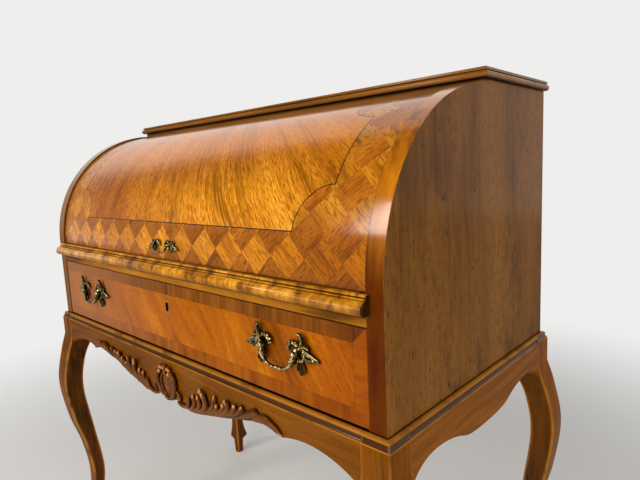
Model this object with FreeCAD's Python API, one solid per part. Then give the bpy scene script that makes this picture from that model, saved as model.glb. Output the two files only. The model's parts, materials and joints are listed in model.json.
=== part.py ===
"""Cylinder desk: cabriole stand, case with a quarter-cylinder lid, writing slide and drawer.

Millimetres. X runs across the desk, +Y to its back, +Z up. The origin is on the floor,
under the middle of the case.
"""
import FreeCAD, Part
import os
from math import asin, atan2, cos, degrees, radians, sin

V = FreeCAD.Vector

# Case
CASE_W = 1000.0          # over the side panels
CASE_D = 504.0           # over the side panels, front to back
PANEL_T = 27.5           # side panel thickness
BACK_T = 8.0             # back panel thickness
BACK_LAP = 10.0          # back panel's lap in the side panels' rebate
BOTTOM_T = 15.0          # bottom board thickness
HOUSING = 6.0            # depth of the housings in the side panels
TOP_T = 17.0             # top board thickness
TOP_OUT = 9.5            # overhang of the top board
TOP_STEP_H = 3.0         # height of the small step above the top board's nose
TOP_STEP_IN = 8.0        # how far that step stands back from the nose
FRIEZE_H = 11.0          # frieze rail height
FRIEZE_T = 12.0          # frieze rail thickness
FRIEZE_BACK = 4.2        # frieze face behind the lid's axis
FRIEZE_LET_IN = 1.9      # depth that the frieze rail is let into the side panels
RAIL_T = 16.5            # rail between drawer and slide, height
RAIL_D = 60.0            # the same rail, front to back
RAIL_STUB_SETBACK = 14.0  # stub tenon of that rail behind the case front
DUST_T = 6.0             # dust panel thickness
DUST_GROOVE = 8.0        # depth of the grooves that hold the dust panel

# Stand
STAND_H = 605.0          # floor to the top of the stand
STAND_OUT = 10.5         # stand faces outside the case faces
LEG_BLOCK = 47.0         # square block at the top of a leg
KNEE_OUT = 32.2          # outermost point of the knee, outside the case
APRON_T = 22.0           # apron thickness
SEAM_H = 75.0            # depth of the leg block at its seam with an apron
REAR_APRON_H = 75.0      # depth of the rear apron
EDGE_LEDGE = 3.5         # flat ledge round the foot of the case
EDGE_BEAD_H = 4.5        # bead of the moulding on the stand's top edge
EDGE_QUIRK = 1.0         # quirk under that bead
EDGE_COVE_H = 7.3        # cove under the quirk
EDGE_BEAD_OUT = 4.0      # projection of the bead from the ledge
TENON_L = 24.0           # apron tenons
TENON_T = 8.0
TENON_DROP = 20.0        # top of a tenon under the stand's top
TENON_SHOULDER = 10.0    # shoulder under a tenon
BLOCK_S = 20.0           # glue blocks, section
BLOCK_H = 40.0           # glue blocks, height

# Drawer
FRONT_GAP = 2.7          # under the drawer front
FRONT_H = 131.8          # drawer front height
FRONT_T = 20.0           # drawer front thickness
REVEAL = 1.0             # gap between drawer front and rail
DRAWER_SIDE_CLEAR = 0.7  # drawer to side panel
DRAWER_TAIL = 31.0       # space between drawer and back panel
SIDE_T = 12.0            # drawer side and back thickness
SIDE_DROP = 16.0         # drawer sides below the top of the front
DRAWER_BOTTOM_T = 6.0
DRAWER_BOTTOM_UP = 8.0   # bottom board above the lower edge of the sides
GROOVE = 5.0             # groove that holds the drawer bottom
STOP_L = 18.0            # drawer stops
STOP_W = 40.0
STOP_H = 12.0
KEYHOLE_UP = 88.4        # keyhole centre above the stand
KEYHOLE_W = 10.0         # keyhole liner, outside
KEYHOLE_H = 22.0
LINER_WALL = 1.4
LOCK_W = 60.0            # lock body
LOCK_H = 68.0
LOCK_T = 11.0
BOLT_W = 18.0            # lock bolt
BOLT_H = 24.0
BOLT_T = 5.0
BOLT_THROW = 7.0
KEY_POCKET = 5.0         # depth of the key's pocket in the lock

# Writing slide
MOULD_H = 26.0           # moulding on the slide's front edge
MOULD_OUT = 19.0         # its projection
MOULD_LAP = 6.0          # its lap over the front edges of the side panels
MOULD_LIP_OUT = 6.0      # upper lip of the moulding
MOULD_LIP_H = 3.4
MOULD_QUIRK = 1.2
MOULD_FILLET_OUT = 8.5   # fillet under the lip
MOULD_FILLET_H = 2.0
MOULD_NOSE_H = 9.0       # height of the moulding's widest point
MOULD_FOOT_OUT = 12.5    # underside of the moulding
SLIDE_T = 22.0           # slide board
SLIDE_L = 345.0
RUNNER_W = 35.0          # bearer under each end of the slide
GUIDE_H = 10.0           # guide beside the slide

# Lid
EDGE_R = 258.5           # round edge of the side panels
LID_SET_BACK = 4.5       # lid surface inside that edge
LID_T = 14.0             # thickness of the cylinder
LID_DROP = 4.0           # lower edge of the lid below its axis
LID_REVEAL = 0.9         # gap between lid and slide
LID_TUCK = 92.0          # angle of the lid's upper edge, degrees from the front
ARM_T = 9.0              # sector arms at the ends of the lid
ARM_GAP = 1.0            # arm to side panel
ARM_CLEAR = 2.0          # arm to gallery and slide
HUB_R = 12.0             # hub of an arm
PIN_R = 5.0              # pivot pins
PIN_IN_PANEL = 16.0      # depth of a pin in its side panel

# Gallery
GALLERY_FRONT = 45.0     # front of the gallery before the lid's axis
GALLERY_TAIL = 72.5      # space between gallery and back panel, where the lid goes
GALLERY_T = 8.0          # floor, ends and top
GALLERY_BACK_T = 5.0
SMALL_H = 58.0           # height of the bays for the small drawers
PIGEON_H = 84.0          # height of the pigeonholes
SHELF_T = 6.0            # shelf, dividers and partitions
CENTRE_BAY = 320.0       # open bay between the small drawers
FLOOR_WING = 30.0        # floor reaches the side panels this far behind the axis
PARTITIONS = 4
TRAY_T = 6.0             # sides and back of a small drawer
TRAY_BOTTOM_T = 4.0
SMALL_FRONT_T = 12.0
SMALL_TAIL = 12.0        # space behind a small drawer
KNOB_R = 6.0
KNOB_L = 16.0
KNOB_SHANK_R = 2.5

# Handles
HANDLE_IN = 154.8        # drawer handles from the drawer's ends
HANDLE_UP = 80.0         # their pivots above the stand
HANDLE_SPAN = 74.0       # between the mounts of a drawer handle
HANDLE_DROP = 31.0       # pivot to the grip of the bail
HANDLE_OUT = 13.0        # pivot in front of the drawer
BAIL_R = 2.8             # grip radius
LID_HANDLE_UP = 20.5     # small handle's pivot above the lid's axis
LID_HANDLE_SPAN = 56.0
LID_HANDLE_DROP = 11.0
LID_HANDLE_OUT = 10.0
LID_BAIL_R = 2.2
PIVOT_R = 1.8            # pivots at the ends of the bails
EYE_R = 4.2              # eye that holds a pivot
EYE_L = 6.0
STEM_R = 2.0             # threaded stem of a mount
NUT_W = 9.0
NUT_T = 3.0

# Fits
JOINT_GAP = 0.15         # glued joints
RUN_GAP = 0.3            # sliding faces
PIN_CLEAR = 0.05         # pivots in their holes
SMALL_CLEAR = 0.5        # small drawers in their bays
BOLT_SLIP = 0.2          # lock bolt in its slot
BOLT_ROOM = 1.0          # lock bolt in the rail's mortise
PAST = 1.0               # how far a cutter or a joining solid reaches past a face

# Levels and planes worked out from the sizes above
FRONT_Y = -CASE_D / 2
REAR_Y = CASE_D / 2
BACK_IN = REAR_Y - BACK_T
PANEL_IN = CASE_W / 2 - PANEL_T
FRONT_Z = STAND_H + FRONT_GAP
FRONT_TOP = FRONT_Z + FRONT_H
RAIL_Z = FRONT_TOP + REVEAL
RAIL_TOP = RAIL_Z + RAIL_T
MOULD_Z = RAIL_TOP + RUN_GAP
SLIDE_TOP = MOULD_Z + MOULD_H
SLIDE_Z = SLIDE_TOP - SLIDE_T
AXIS_Z = SLIDE_TOP + LID_REVEAL + LID_DROP
AXIS_Y = FRONT_Y + EDGE_R
LID_R = EDGE_R - LID_SET_BACK
LID_IN_R = LID_R - LID_T
ARC_TOP = AXIS_Z + EDGE_R
FRIEZE_Z = ARC_TOP - FRIEZE_LET_IN
FRIEZE_Y = AXIS_Y + FRIEZE_BACK
CASE_TOP = FRIEZE_Z + FRIEZE_H
LID_HALF = PANEL_IN - ARM_GAP
BAY_HALF = LID_HALF - ARM_T - ARM_CLEAR
BOTTOM_TOP = STAND_H + BOTTOM_T
FLOOR_Z = SLIDE_TOP + RUN_GAP
FLOOR_TOP = FLOOR_Z + GALLERY_T
SHELF_Z = FLOOR_TOP + SMALL_H
SHELF_TOP = SHELF_Z + SHELF_T
GALLERY_TOP_Z = SHELF_TOP + PIGEON_H
GALLERY_Y = AXIS_Y - GALLERY_FRONT
GALLERY_END_Y = BACK_IN - GALLERY_TAIL
SEAM_IN = LEG_BLOCK - STAND_OUT
LEG_IN_X = CASE_W / 2 - SEAM_IN
LEG_IN_Y = CASE_D / 2 - SEAM_IN
DRAWER_HALF = PANEL_IN - DRAWER_SIDE_CLEAR
DRAWER_END_Y = BACK_IN - DRAWER_TAIL
HANDLE_X = DRAWER_HALF - HANDLE_IN

nodes = {}


def point(u, w):
    """A point of a drawn outline: u across, w up."""
    return V(u, 0, w)


def line(a, b):
    return Part.LineSegment(point(*a), point(*b)).toShape()


def lines(*points):
    return [line(a, b) for a, b in zip(points, points[1:])]


def arc(a, middle, b):
    return Part.Arc(point(*a), point(*middle), point(*b)).toShape()


def curve(points, start=None, end=None):
    """A smooth curve through the points, with optional directions at its ends."""
    spline = Part.BSplineCurve()
    places = [point(*p) for p in points]
    if start is None:
        spline.interpolate(places)
    else:
        spline.interpolate(places, InitialTangent=point(*start), FinalTangent=point(*end))
    return spline.toShape()


def face(edges):
    return Part.Face(Part.Wire(Part.__sortEdges__(edges)))


def along_y(outline, y0, y1):
    """Extrude an outline drawn in X and Z from y0 to y1."""
    placed = outline.copy()
    placed.translate(V(0, y0, 0))
    return placed.extrude(V(0, y1 - y0, 0))


def along_x(outline, x0, x1):
    """Extrude an outline drawn in Y and Z from x0 to x1."""
    placed = outline.copy()
    placed.rotate(V(), V(0, 0, 1), 90)
    placed.translate(V(x0, 0, 0))
    return placed.extrude(V(x1 - x0, 0, 0))


def box(x0, x1, y0, y1, z0, z1):
    return Part.makeBox(x1 - x0, y1 - y0, z1 - z0, V(x0, y0, z0))


def cylinder(radius, start, end):
    run = end.sub(start)
    return Part.makeCylinder(radius, run.Length, start, run)


def mirrored(shape):
    """The same piece for the other side of the desk."""
    return shape.mirror(V(), V(1, 0, 0))


def pair(name, right):
    nodes[name + "_right"] = right
    nodes[name + "_left"] = mirrored(right)


def group(solids):
    return Part.makeCompound(solids)


# Moulding on the top edge of the stand, worked in the solid of legs and aprons
BEAD_OUT = EDGE_LEDGE + EDGE_BEAD_OUT
QUIRK_OUT = BEAD_OUT - EDGE_QUIRK
BEAD_Z = STAND_H - EDGE_BEAD_H
COVE_TOP = BEAD_Z - EDGE_QUIRK
COVE_Z = COVE_TOP - EDGE_COVE_H


def stand_edge(origin):
    """Bead, quirk and cove down to the stand's face, outward from origin, the case face."""
    round_in = 1 - cos(radians(45))
    bead = arc((origin + EDGE_LEDGE, STAND_H),
               (origin + BEAD_OUT - round_in * EDGE_BEAD_OUT, STAND_H - round_in * EDGE_BEAD_H),
               (origin + BEAD_OUT, BEAD_Z))
    quirk = line((origin + BEAD_OUT, BEAD_Z), (origin + QUIRK_OUT, COVE_TOP))
    cove_w = STAND_OUT - QUIRK_OUT
    cove = arc((origin + QUIRK_OUT, COVE_TOP),
               (origin + QUIRK_OUT + round_in * cove_w, COVE_Z + round_in * EDGE_COVE_H),
               (origin + STAND_OUT, COVE_Z))
    return [bead, quirk, cove]


# Legs
KNEE_D = 185.0               # knee's outermost point under the stand's top
SHOULDER_D = 56.0            # where the block swells into the knee
KNEE_Z = STAND_H - KNEE_D
SHOULDER_Z = STAND_H - SHOULDER_D
ANKLE_Z = 173.0              # height of the ankle
ANKLE_IN = 5.4               # outer face of the ankle inside the case face
TOE_Z = 52.0                 # height of the toe's point
TOE_OUT = 13.0               # toe's point outside the case face
FOOT_Z = 44.0                # top of the foot block
FOOT_OUT = 4.0               # foot block inside the case face, at its top
FOOT_SIZE = 23.0             # foot block at its top
FOOT_TAPER = 2.0             # taper of the foot block on each side
KNEE_T = 44.6                # leg thickness at the knee
ANKLE_T = 29.0               # leg thickness at the ankle
TOE_FLARE = 4.0              # outward bend between ankle and toe
HEEL_HOLLOW = 1.0            # hollow of the inner side above the foot block
ANKLE_BACK_RISE = 8.0        # inner side's thinnest point above the ankle
KNEE_BACK_DROP = 22.0        # inner side's knee below the outer knee


def leg_outline():
    """Side view of a leg, u measured from the case face outward."""
    knee_to_ankle = KNEE_Z - ANKLE_Z
    knee_fall = KNEE_OUT + ANKLE_IN
    outer = curve([(STAND_OUT, SHOULDER_Z),
                   (STAND_OUT + 0.54 * (KNEE_OUT - STAND_OUT), SHOULDER_Z - 0.39 * (SHOULDER_Z - KNEE_Z)),
                   (KNEE_OUT, KNEE_Z),
                   (KNEE_OUT - 0.27 * knee_fall, KNEE_Z - 0.38 * knee_to_ankle),
                   (KNEE_OUT - 0.75 * knee_fall, KNEE_Z - 0.69 * knee_to_ankle),
                   (-ANKLE_IN, ANKLE_Z),
                   (-ANKLE_IN + TOE_FLARE, 0.4 * ANKLE_Z + 0.6 * TOE_Z),
                   (TOE_OUT, TOE_Z)], (0, -1), (0.7, -0.7))
    foot_in = -FOOT_OUT - FOOT_SIZE
    toe = lines((TOE_OUT, TOE_Z), (-FOOT_OUT, FOOT_Z), (-FOOT_OUT - FOOT_TAPER, 0),
                (foot_in + FOOT_TAPER, 0), (foot_in, FOOT_Z))
    seam_z = STAND_H - SEAM_H
    knee_in = KNEE_OUT - KNEE_T
    ankle_in = -ANKLE_IN - ANKLE_T
    inner = curve([(foot_in, FOOT_Z),
                   (0.5 * (foot_in + ankle_in) + HEEL_HOLLOW, 0.5 * (FOOT_Z + ANKLE_Z)),
                   (ankle_in, ANKLE_Z + ANKLE_BACK_RISE),
                   (0.5 * (knee_in + ankle_in), KNEE_Z - 0.53 * knee_to_ankle),
                   (knee_in, KNEE_Z - KNEE_BACK_DROP),
                   (0.68 * knee_in - 0.32 * SEAM_IN, 0.5 * (seam_z + KNEE_Z)),
                   (-SEAM_IN, seam_z)], (0, 1), (-0.55, 0.83))
    block = lines((-SEAM_IN, seam_z), (-SEAM_IN, STAND_H), (EDGE_LEDGE, STAND_H))
    shoulder = line((STAND_OUT, COVE_Z), (STAND_OUT, SHOULDER_Z))
    return [outer] + toe + [inner] + block + stand_edge(0.0) + [shoulder]


def tenon_on_y(x0, grow=0.0):
    """Tenon at the right end of a front or rear apron, seen from above at the leg's inner face."""
    middle = CASE_D / 2 + STAND_OUT - APRON_T / 2
    return box(x0 - PAST, x0 + TENON_L + grow, -middle - TENON_T / 2 - grow, -middle + TENON_T / 2 + grow,
               STAND_H - SEAM_H + TENON_SHOULDER - grow, STAND_H - TENON_DROP + grow)


def tenon_on_x(y0, grow=0.0):
    """Tenon at the front end of a side apron."""
    middle = CASE_W / 2 + STAND_OUT - APRON_T / 2
    return box(middle - TENON_T / 2 - grow, middle + TENON_T / 2 + grow, y0 - TENON_L - grow, y0 + PAST,
               STAND_H - SEAM_H + TENON_SHOULDER - grow, STAND_H - TENON_DROP + grow)


def leg():
    """Front right leg: the side view carried both ways, so that its section stays square."""
    outline = face(leg_outline())
    reach = KNEE_OUT + LEG_BLOCK
    from_front = outline.copy()
    from_front.translate(V(CASE_W / 2, 0, 0))
    from_front = along_y(from_front, FRONT_Y - reach, FRONT_Y + reach)
    from_side = outline.mirror(V(), V(1, 0, 0))
    from_side.translate(V(FRONT_Y, 0, 0))
    from_side = along_x(from_side, CASE_W / 2 - reach, CASE_W / 2 + reach)
    solid = from_front.common(from_side)
    solid = solid.cut(tenon_on_y(LEG_IN_X, JOINT_GAP))
    return solid.cut(tenon_on_x(-LEG_IN_Y, JOINT_GAP))


def apron_section():
    """Cross-section of an apron with its moulded edge, u running inward to 0 at the case face."""
    edges = stand_edge(0.0)
    low = below(LOBE_D + APRON_T)
    inner = STAND_OUT - APRON_T
    return face(edges + lines((STAND_OUT, COVE_Z), (STAND_OUT, low), (inner, low),
                              (inner, STAND_H), (EDGE_LEDGE, STAND_H)))


# Lower edges of the aprons, as depths under the stand's top
ARCH_TOP = 48.5              # arch beside a leg
CUSP_D = 56.6                # cusp at the end of the carving
CUSP_IN = 145.5              # that cusp from the leg
ARCH_IN = 82.0               # crown of the arch from the leg
SPRAY_TOP = 49.0             # small arch inside the cusp
SPRAY_IN = 184.0
LOBE_X = 72.0                # hanging lobe beside the cartouche
LOBE_D = 93.0
NOTCH_X = 31.0               # notch beside the cartouche
NOTCH_D = 82.0
CARTOUCHE_D = 88.0           # under the cartouche
SIDE_ARCH_TOP = 51.4         # side aprons
SIDE_ARCH_IN = 60.0
SIDE_MIDDLE_D = 76.0


def below(d):
    return STAND_H - d


def front_edge(side):
    """Half of the front apron's lower edge, from the leg to the middle."""
    seam = (side * LEG_IN_X, below(SEAM_H))
    cusp = (side * (LEG_IN_X - CUSP_IN), below(CUSP_D))
    spray = LEG_IN_X - SPRAY_IN
    slope_x = LOBE_X + 0.6 * (spray - LOBE_X)
    slope_d = SPRAY_TOP + 0.4 * (LOBE_D - SPRAY_TOP)
    foot_x = LOBE_X + 0.22 * (spray - LOBE_X)
    foot_d = LOBE_D - 0.18 * (LOBE_D - SPRAY_TOP)
    arch = arc(seam, (side * (LEG_IN_X - ARCH_IN), below(ARCH_TOP)), cusp)
    sweep = curve([cusp, (side * spray, below(SPRAY_TOP)), (side * slope_x, below(slope_d)),
                   (side * foot_x, below(foot_d)), (side * LOBE_X, below(LOBE_D)),
                   (side * NOTCH_X, below(NOTCH_D))])
    return [arch, sweep]


def front_apron():
    bottom = front_edge(1) + front_edge(-1)
    bottom.append(arc((-NOTCH_X, below(NOTCH_D)), (0, below(CARTOUCHE_D)), (NOTCH_X, below(NOTCH_D))))
    seam_z = below(SEAM_H)
    top = lines((-LEG_IN_X, seam_z), (-LEG_IN_X, STAND_H), (LEG_IN_X, STAND_H), (LEG_IN_X, seam_z))
    front_view = along_y(face(bottom + top), FRONT_Y - STAND_OUT - PAST, FRONT_Y + APRON_T)
    section = apron_section().mirror(V(), V(1, 0, 0))
    section.translate(V(FRONT_Y, 0, 0))
    solid = front_view.common(along_x(section, -LEG_IN_X, LEG_IN_X))
    tenon = tenon_on_y(LEG_IN_X)
    return solid.fuse([tenon, mirrored(tenon)]).removeSplitter()


def side_apron():
    seam_z = below(SEAM_H)
    sweep_d = 0.55 * SIDE_ARCH_TOP + 0.45 * SIDE_MIDDLE_D
    half = [(-LEG_IN_Y, seam_z), (-LEG_IN_Y + SIDE_ARCH_IN, below(SIDE_ARCH_TOP)),
            (-0.42 * LEG_IN_Y, below(sweep_d)), (0, below(SIDE_MIDDLE_D))]
    front_half = curve(half, (0.66, 0.75), (1, 0))
    rear_half = curve([(-y, z) for y, z in half], (-0.66, 0.75), (-1, 0))
    top = lines((-LEG_IN_Y, seam_z), (-LEG_IN_Y, STAND_H), (LEG_IN_Y, STAND_H), (LEG_IN_Y, seam_z))
    outline = face([front_half, rear_half] + top)
    side_view = along_x(outline, CASE_W / 2 - APRON_T, CASE_W / 2 + STAND_OUT + PAST)
    section = apron_section()
    section.translate(V(CASE_W / 2, 0, 0))
    solid = side_view.common(along_y(section, -LEG_IN_Y, LEG_IN_Y))
    tenon = tenon_on_x(-LEG_IN_Y)
    return solid.fuse([tenon, tenon.mirror(V(), V(0, 1, 0))]).removeSplitter()


def rear_apron():
    section = apron_section()
    section.translate(V(REAR_Y, 0, 0))
    board = along_x(section, -LEG_IN_X, LEG_IN_X)
    board = board.common(box(-LEG_IN_X, LEG_IN_X, 0, CASE_D, below(REAR_APRON_H), STAND_H))
    tenon = tenon_on_y(LEG_IN_X).mirror(V(), V(0, 1, 0))
    return board.fuse([tenon, mirrored(tenon)]).removeSplitter()


def glue_blocks():
    """Two blocks at each leg, in the corners between leg and aprons."""
    low = below(BLOCK_H)
    inner_y = CASE_D / 2 + STAND_OUT - APRON_T
    inner_x = CASE_W / 2 + STAND_OUT - APRON_T
    solids = []
    for sx in (-1, 1):
        for sy in (-1, 1):
            by_front = box(LEG_IN_X - BLOCK_S, LEG_IN_X, inner_y - BLOCK_S, inner_y, low, STAND_H)
            by_side = box(inner_x - BLOCK_S, inner_x, LEG_IN_Y - BLOCK_S, LEG_IN_Y, low, STAND_H)
            for block in (by_front, by_side):
                block = block if sx > 0 else mirrored(block)
                solids.append(block if sy > 0 else block.mirror(V(), V(0, 1, 0)))
    return group(solids)


# Carving on the front apron
CARVE_T = 8.0                # relief of the carving
LEAVES = 9                   # leaves of one spray
LEAF_FIRST_X = 52.0          # root of the first leaf
LEAF_LAST_GAP = 62.0         # root of the last leaf from the cusp
LEAF_LONG = 37.0
LEAF_SHORT = 22.0
LEAF_LEAN = 4.0              # lean of the first leaf from upright, degrees
LEAF_FLAT = 58.0             # lean of the last leaf
OVAL_W = 62.0                # cartouche
OVAL_H = 57.0
OVAL_RIB = 10.0
OVAL_D = 57.5                # its centre under the stand's top
OVAL_LAP = 1.0               # its domed field reaches under the rib
DOME_T = 5.0                 # relief of the field
CREST = (16.0, 11.0)         # length and width of the leaf over the cartouche
CREST_LAP = 4.0              # its root inside the rib
RIB_W = 10.0                 # rib along the apron's lower edge
RIB_MIDDLE_D = 69.0          # its depth half way up the sweep
RIB_ROOT_IN = 6.0            # its root inside the notch
RIB_ROOT_UP = 8.0            # and above the notch


def leaf(root, lean, length, width):
    """A leaf-shaped slab: two arcs from root to tip, leaning outward from upright."""
    tip = (root[0] + length * sin(radians(lean)), root[1] + length * cos(radians(lean)))
    middle = (0.55 * root[0] + 0.45 * tip[0], 0.55 * root[1] + 0.45 * tip[1])
    off = (0.5 * width * cos(radians(lean)), -0.5 * width * sin(radians(lean)))
    near = arc(root, (middle[0] - off[0], middle[1] - off[1]), tip)
    far = arc(tip, (middle[0] + off[0], middle[1] + off[1]), root)
    return face([near, far])


def scaled(shape, x, y, z):
    grown = FreeCAD.Matrix()
    grown.scale(x, y, z)
    return shape.transformGeometry(grown)


def cartouche(face_y):
    """Oval rib round a domed field, with a leaf over it."""
    half_w = OVAL_W / 2
    half_h = OVAL_H / 2
    disc = Part.makeCylinder(1.0, CARVE_T, V(), V(0, -1, 0))
    rib = scaled(disc, half_w, 1, half_h).cut(scaled(disc, half_w - OVAL_RIB, 1, half_h - OVAL_RIB))
    cap = Part.makeSphere(1.0, V(), V(0, -1, 0), 0, 90, 360)
    inset = OVAL_RIB - OVAL_LAP
    field = scaled(cap, half_w - inset, DOME_T, half_h - inset)
    crest = along_y(leaf((0, half_h - CREST_LAP), 0, *CREST), -CARVE_T, 0)
    solid = rib.fuse([field, crest])
    solid.translate(V(0, face_y, below(OVAL_D)))
    return solid


def between(x, start, end):
    """Height at x on the straight line between two points."""
    return start[1] + (end[1] - start[1]) * (x - start[0]) / (end[0] - start[0])


def carving():
    """Cartouche with a spray of leaves on each side, on the front apron's face."""
    face_y = FRONT_Y - STAND_OUT
    spray_x = LEG_IN_X - SPRAY_IN
    cusp_x = LEG_IN_X - CUSP_IN
    last_x = cusp_x - LEAF_LAST_GAP
    root = (NOTCH_X - RIB_ROOT_IN, below(NOTCH_D - RIB_ROOT_UP))
    middle_x = 0.55 * (LOBE_X + spray_x)
    lobe = (LOBE_X, LOBE_D)
    middle = (middle_x, RIB_MIDDLE_D)
    crown = (spray_x, SPRAY_TOP)
    rib = curve([root, (LOBE_X, below(LOBE_D)), (middle_x, below(RIB_MIDDLE_D)),
                 (spray_x, below(SPRAY_TOP)), (cusp_x, below(CUSP_D))])
    rib_top = curve([root, (LOBE_X + 0.4 * RIB_W, below(LOBE_D - RIB_W)),
                     (middle_x, below(RIB_MIDDLE_D - RIB_W)),
                     (spray_x + 0.8 * RIB_W, below(SPRAY_TOP - RIB_W)), (cusp_x, below(CUSP_D))])
    spray = along_y(face([rib, rib_top]), face_y - CARVE_T, face_y)
    slabs = []
    for i in range(LEAVES):
        t = i / (LEAVES - 1)
        x = LEAF_FIRST_X + t * (last_x - LEAF_FIRST_X)
        rib_d = between(x, lobe, middle) if x < middle_x else between(x, middle, crown)
        root_d = min(rib_d, LOBE_D) - 0.15 * RIB_W
        length = LEAF_LONG + t * (LEAF_SHORT - LEAF_LONG)
        lean = LEAF_LEAN + t * (LEAF_FLAT - LEAF_LEAN)
        outline = leaf((x, below(root_d)), lean, length, 0.42 * length)
        slabs.append(along_y(outline, face_y - CARVE_T, face_y))
    spray = spray.fuse(slabs)
    solid = cartouche(face_y).fuse([spray, mirrored(spray)])
    return solid.removeSplitter()


def stand():
    right = leg()
    rear = right.mirror(V(), V(0, 1, 0))
    pair("leg_front", right)
    pair("leg_rear", rear)
    nodes["apron_front"] = front_apron()
    pair("apron", side_apron())
    nodes["apron_rear"] = rear_apron()
    nodes["apron_carving"] = carving()
    nodes["glue_blocks"] = glue_blocks()


# Case
BOTTOM_Y = FRONT_Y + FRONT_T + RUN_GAP
RUN_TOP = SLIDE_Z - RUN_GAP
DUST_Z = RAIL_Z + (RAIL_T - DUST_T) / 2
STUB_Y = FRONT_Y + RAIL_STUB_SETBACK
RAIL_END_Y = FRONT_Y + RAIL_D
WING_Y = AXIS_Y + FLOOR_WING


def side_panel():
    """Right side panel: straight front edge running into a quarter round, stepped for the frieze."""
    mid = EDGE_R * cos(radians(45))
    outline = lines((AXIS_Y, ARC_TOP), (FRIEZE_Y, ARC_TOP), (FRIEZE_Y, FRIEZE_Z),
                    (FRIEZE_Y + FRIEZE_T, FRIEZE_Z), (FRIEZE_Y + FRIEZE_T, CASE_TOP), (REAR_Y, CASE_TOP),
                    (REAR_Y, STAND_H), (FRONT_Y, STAND_H), (FRONT_Y, AXIS_Z))
    outline.append(arc((FRONT_Y, AXIS_Z), (AXIS_Y - mid, AXIS_Z + mid), (AXIS_Y, ARC_TOP)))
    solid = along_x(face(outline), PANEL_IN, CASE_W / 2)
    deep = PANEL_IN + HOUSING
    pin_end = PANEL_IN + PIN_IN_PANEL
    cuts = [box(PANEL_IN, PANEL_IN + BACK_LAP, BACK_IN, REAR_Y, STAND_H, CASE_TOP),
            box(PANEL_IN, deep, BOTTOM_Y, BACK_IN, STAND_H, BOTTOM_TOP),
            box(PANEL_IN, deep, STUB_Y, RAIL_END_Y, RAIL_Z, RAIL_TOP),
            box(PANEL_IN, deep, WING_Y, GALLERY_END_Y, FLOOR_Z, FLOOR_TOP),
            cylinder(PIN_R + PIN_CLEAR, V(PANEL_IN, AXIS_Y, AXIS_Z), V(pin_end, AXIS_Y, AXIS_Z))]
    return solid.cut(cuts)


def slide_runner():
    """Right bearer and guide of the slide, grooved for the dust panel."""
    inner = PANEL_IN - RUNNER_W
    guide = BAY_HALF + RUN_GAP
    section = face(lines((PANEL_IN, RAIL_Z), (inner, RAIL_Z), (inner, RUN_TOP), (guide, RUN_TOP),
                         (guide, RUN_TOP + GUIDE_H), (PANEL_IN, RUN_TOP + GUIDE_H), (PANEL_IN, RAIL_Z)))
    solid = along_y(section, RAIL_END_Y, BACK_IN)
    return solid.cut(box(inner, inner + DUST_GROOVE, RAIL_END_Y, BACK_IN, DUST_Z, DUST_Z + DUST_T))


def drawer_rail():
    """Rail between drawer and slide, with stub tenons, the dust panel's groove and the bolt's mortise."""
    stub = PANEL_IN + HOUSING - JOINT_GAP
    solid = box(-PANEL_IN, PANEL_IN, FRONT_Y, RAIL_END_Y, RAIL_Z, RAIL_TOP)
    solid = solid.fuse(box(-stub, stub, STUB_Y, RAIL_END_Y, RAIL_Z, RAIL_TOP)).removeSplitter()
    dust = PANEL_IN - RUNNER_W + DUST_GROOVE
    groove = box(-dust, dust, RAIL_END_Y - DUST_GROOVE, RAIL_END_Y, DUST_Z, DUST_Z + DUST_T)
    bolt_y = FRONT_Y + FRONT_T - LOCK_T / 2
    half_w = BOLT_W / 2 + BOLT_ROOM
    half_t = BOLT_T / 2 + BOLT_ROOM
    mortise_top = RAIL_Z + BOLT_THROW + BOLT_ROOM
    mortise = box(-half_w, half_w, bolt_y - half_t, bolt_y + half_t, RAIL_Z, mortise_top)
    return solid.cut([groove, mortise])


def nosed(origin, sign):
    """Moulded edge of the top board: a small step over a half-round nose."""
    nose_r = (TOP_T - TOP_STEP_H) / 2
    top = CASE_TOP + TOP_T
    nose_u = TOP_OUT - nose_r
    step_u = TOP_OUT - TOP_STEP_IN
    edge = lines((origin + sign * step_u, top), (origin + sign * step_u, top - TOP_STEP_H),
                 (origin + sign * nose_u, top - TOP_STEP_H))
    edge.append(arc((origin + sign * nose_u, top - TOP_STEP_H),
                    (origin + sign * TOP_OUT, CASE_TOP + nose_r), (origin + sign * nose_u, CASE_TOP)))
    return edge, origin + sign * step_u, origin + sign * nose_u


def top_board():
    top = CASE_TOP + TOP_T
    right, right_top, right_low = nosed(CASE_W / 2, 1)
    left, left_top, left_low = nosed(-CASE_W / 2, -1)
    across = face(right + left + [line((left_top, top), (right_top, top)),
                                  line((left_low, CASE_TOP), (right_low, CASE_TOP))])
    front, front_top, front_low = nosed(FRIEZE_Y, -1)
    deep = face(front + lines((front_top, top), (REAR_Y, top), (REAR_Y, CASE_TOP), (front_low, CASE_TOP)))
    reach = CASE_W / 2 + 2 * TOP_OUT
    return along_y(across, FRIEZE_Y - 2 * TOP_OUT, REAR_Y).common(along_x(deep, -reach, reach))


def drawer_stops():
    y0 = DRAWER_END_Y + RUN_GAP
    x1 = DRAWER_HALF - 2 * STOP_W
    right = box(x1 - STOP_W, x1, y0, y0 + STOP_L, BOTTOM_TOP, BOTTOM_TOP + STOP_H)
    return group([right, mirrored(right)])


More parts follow.
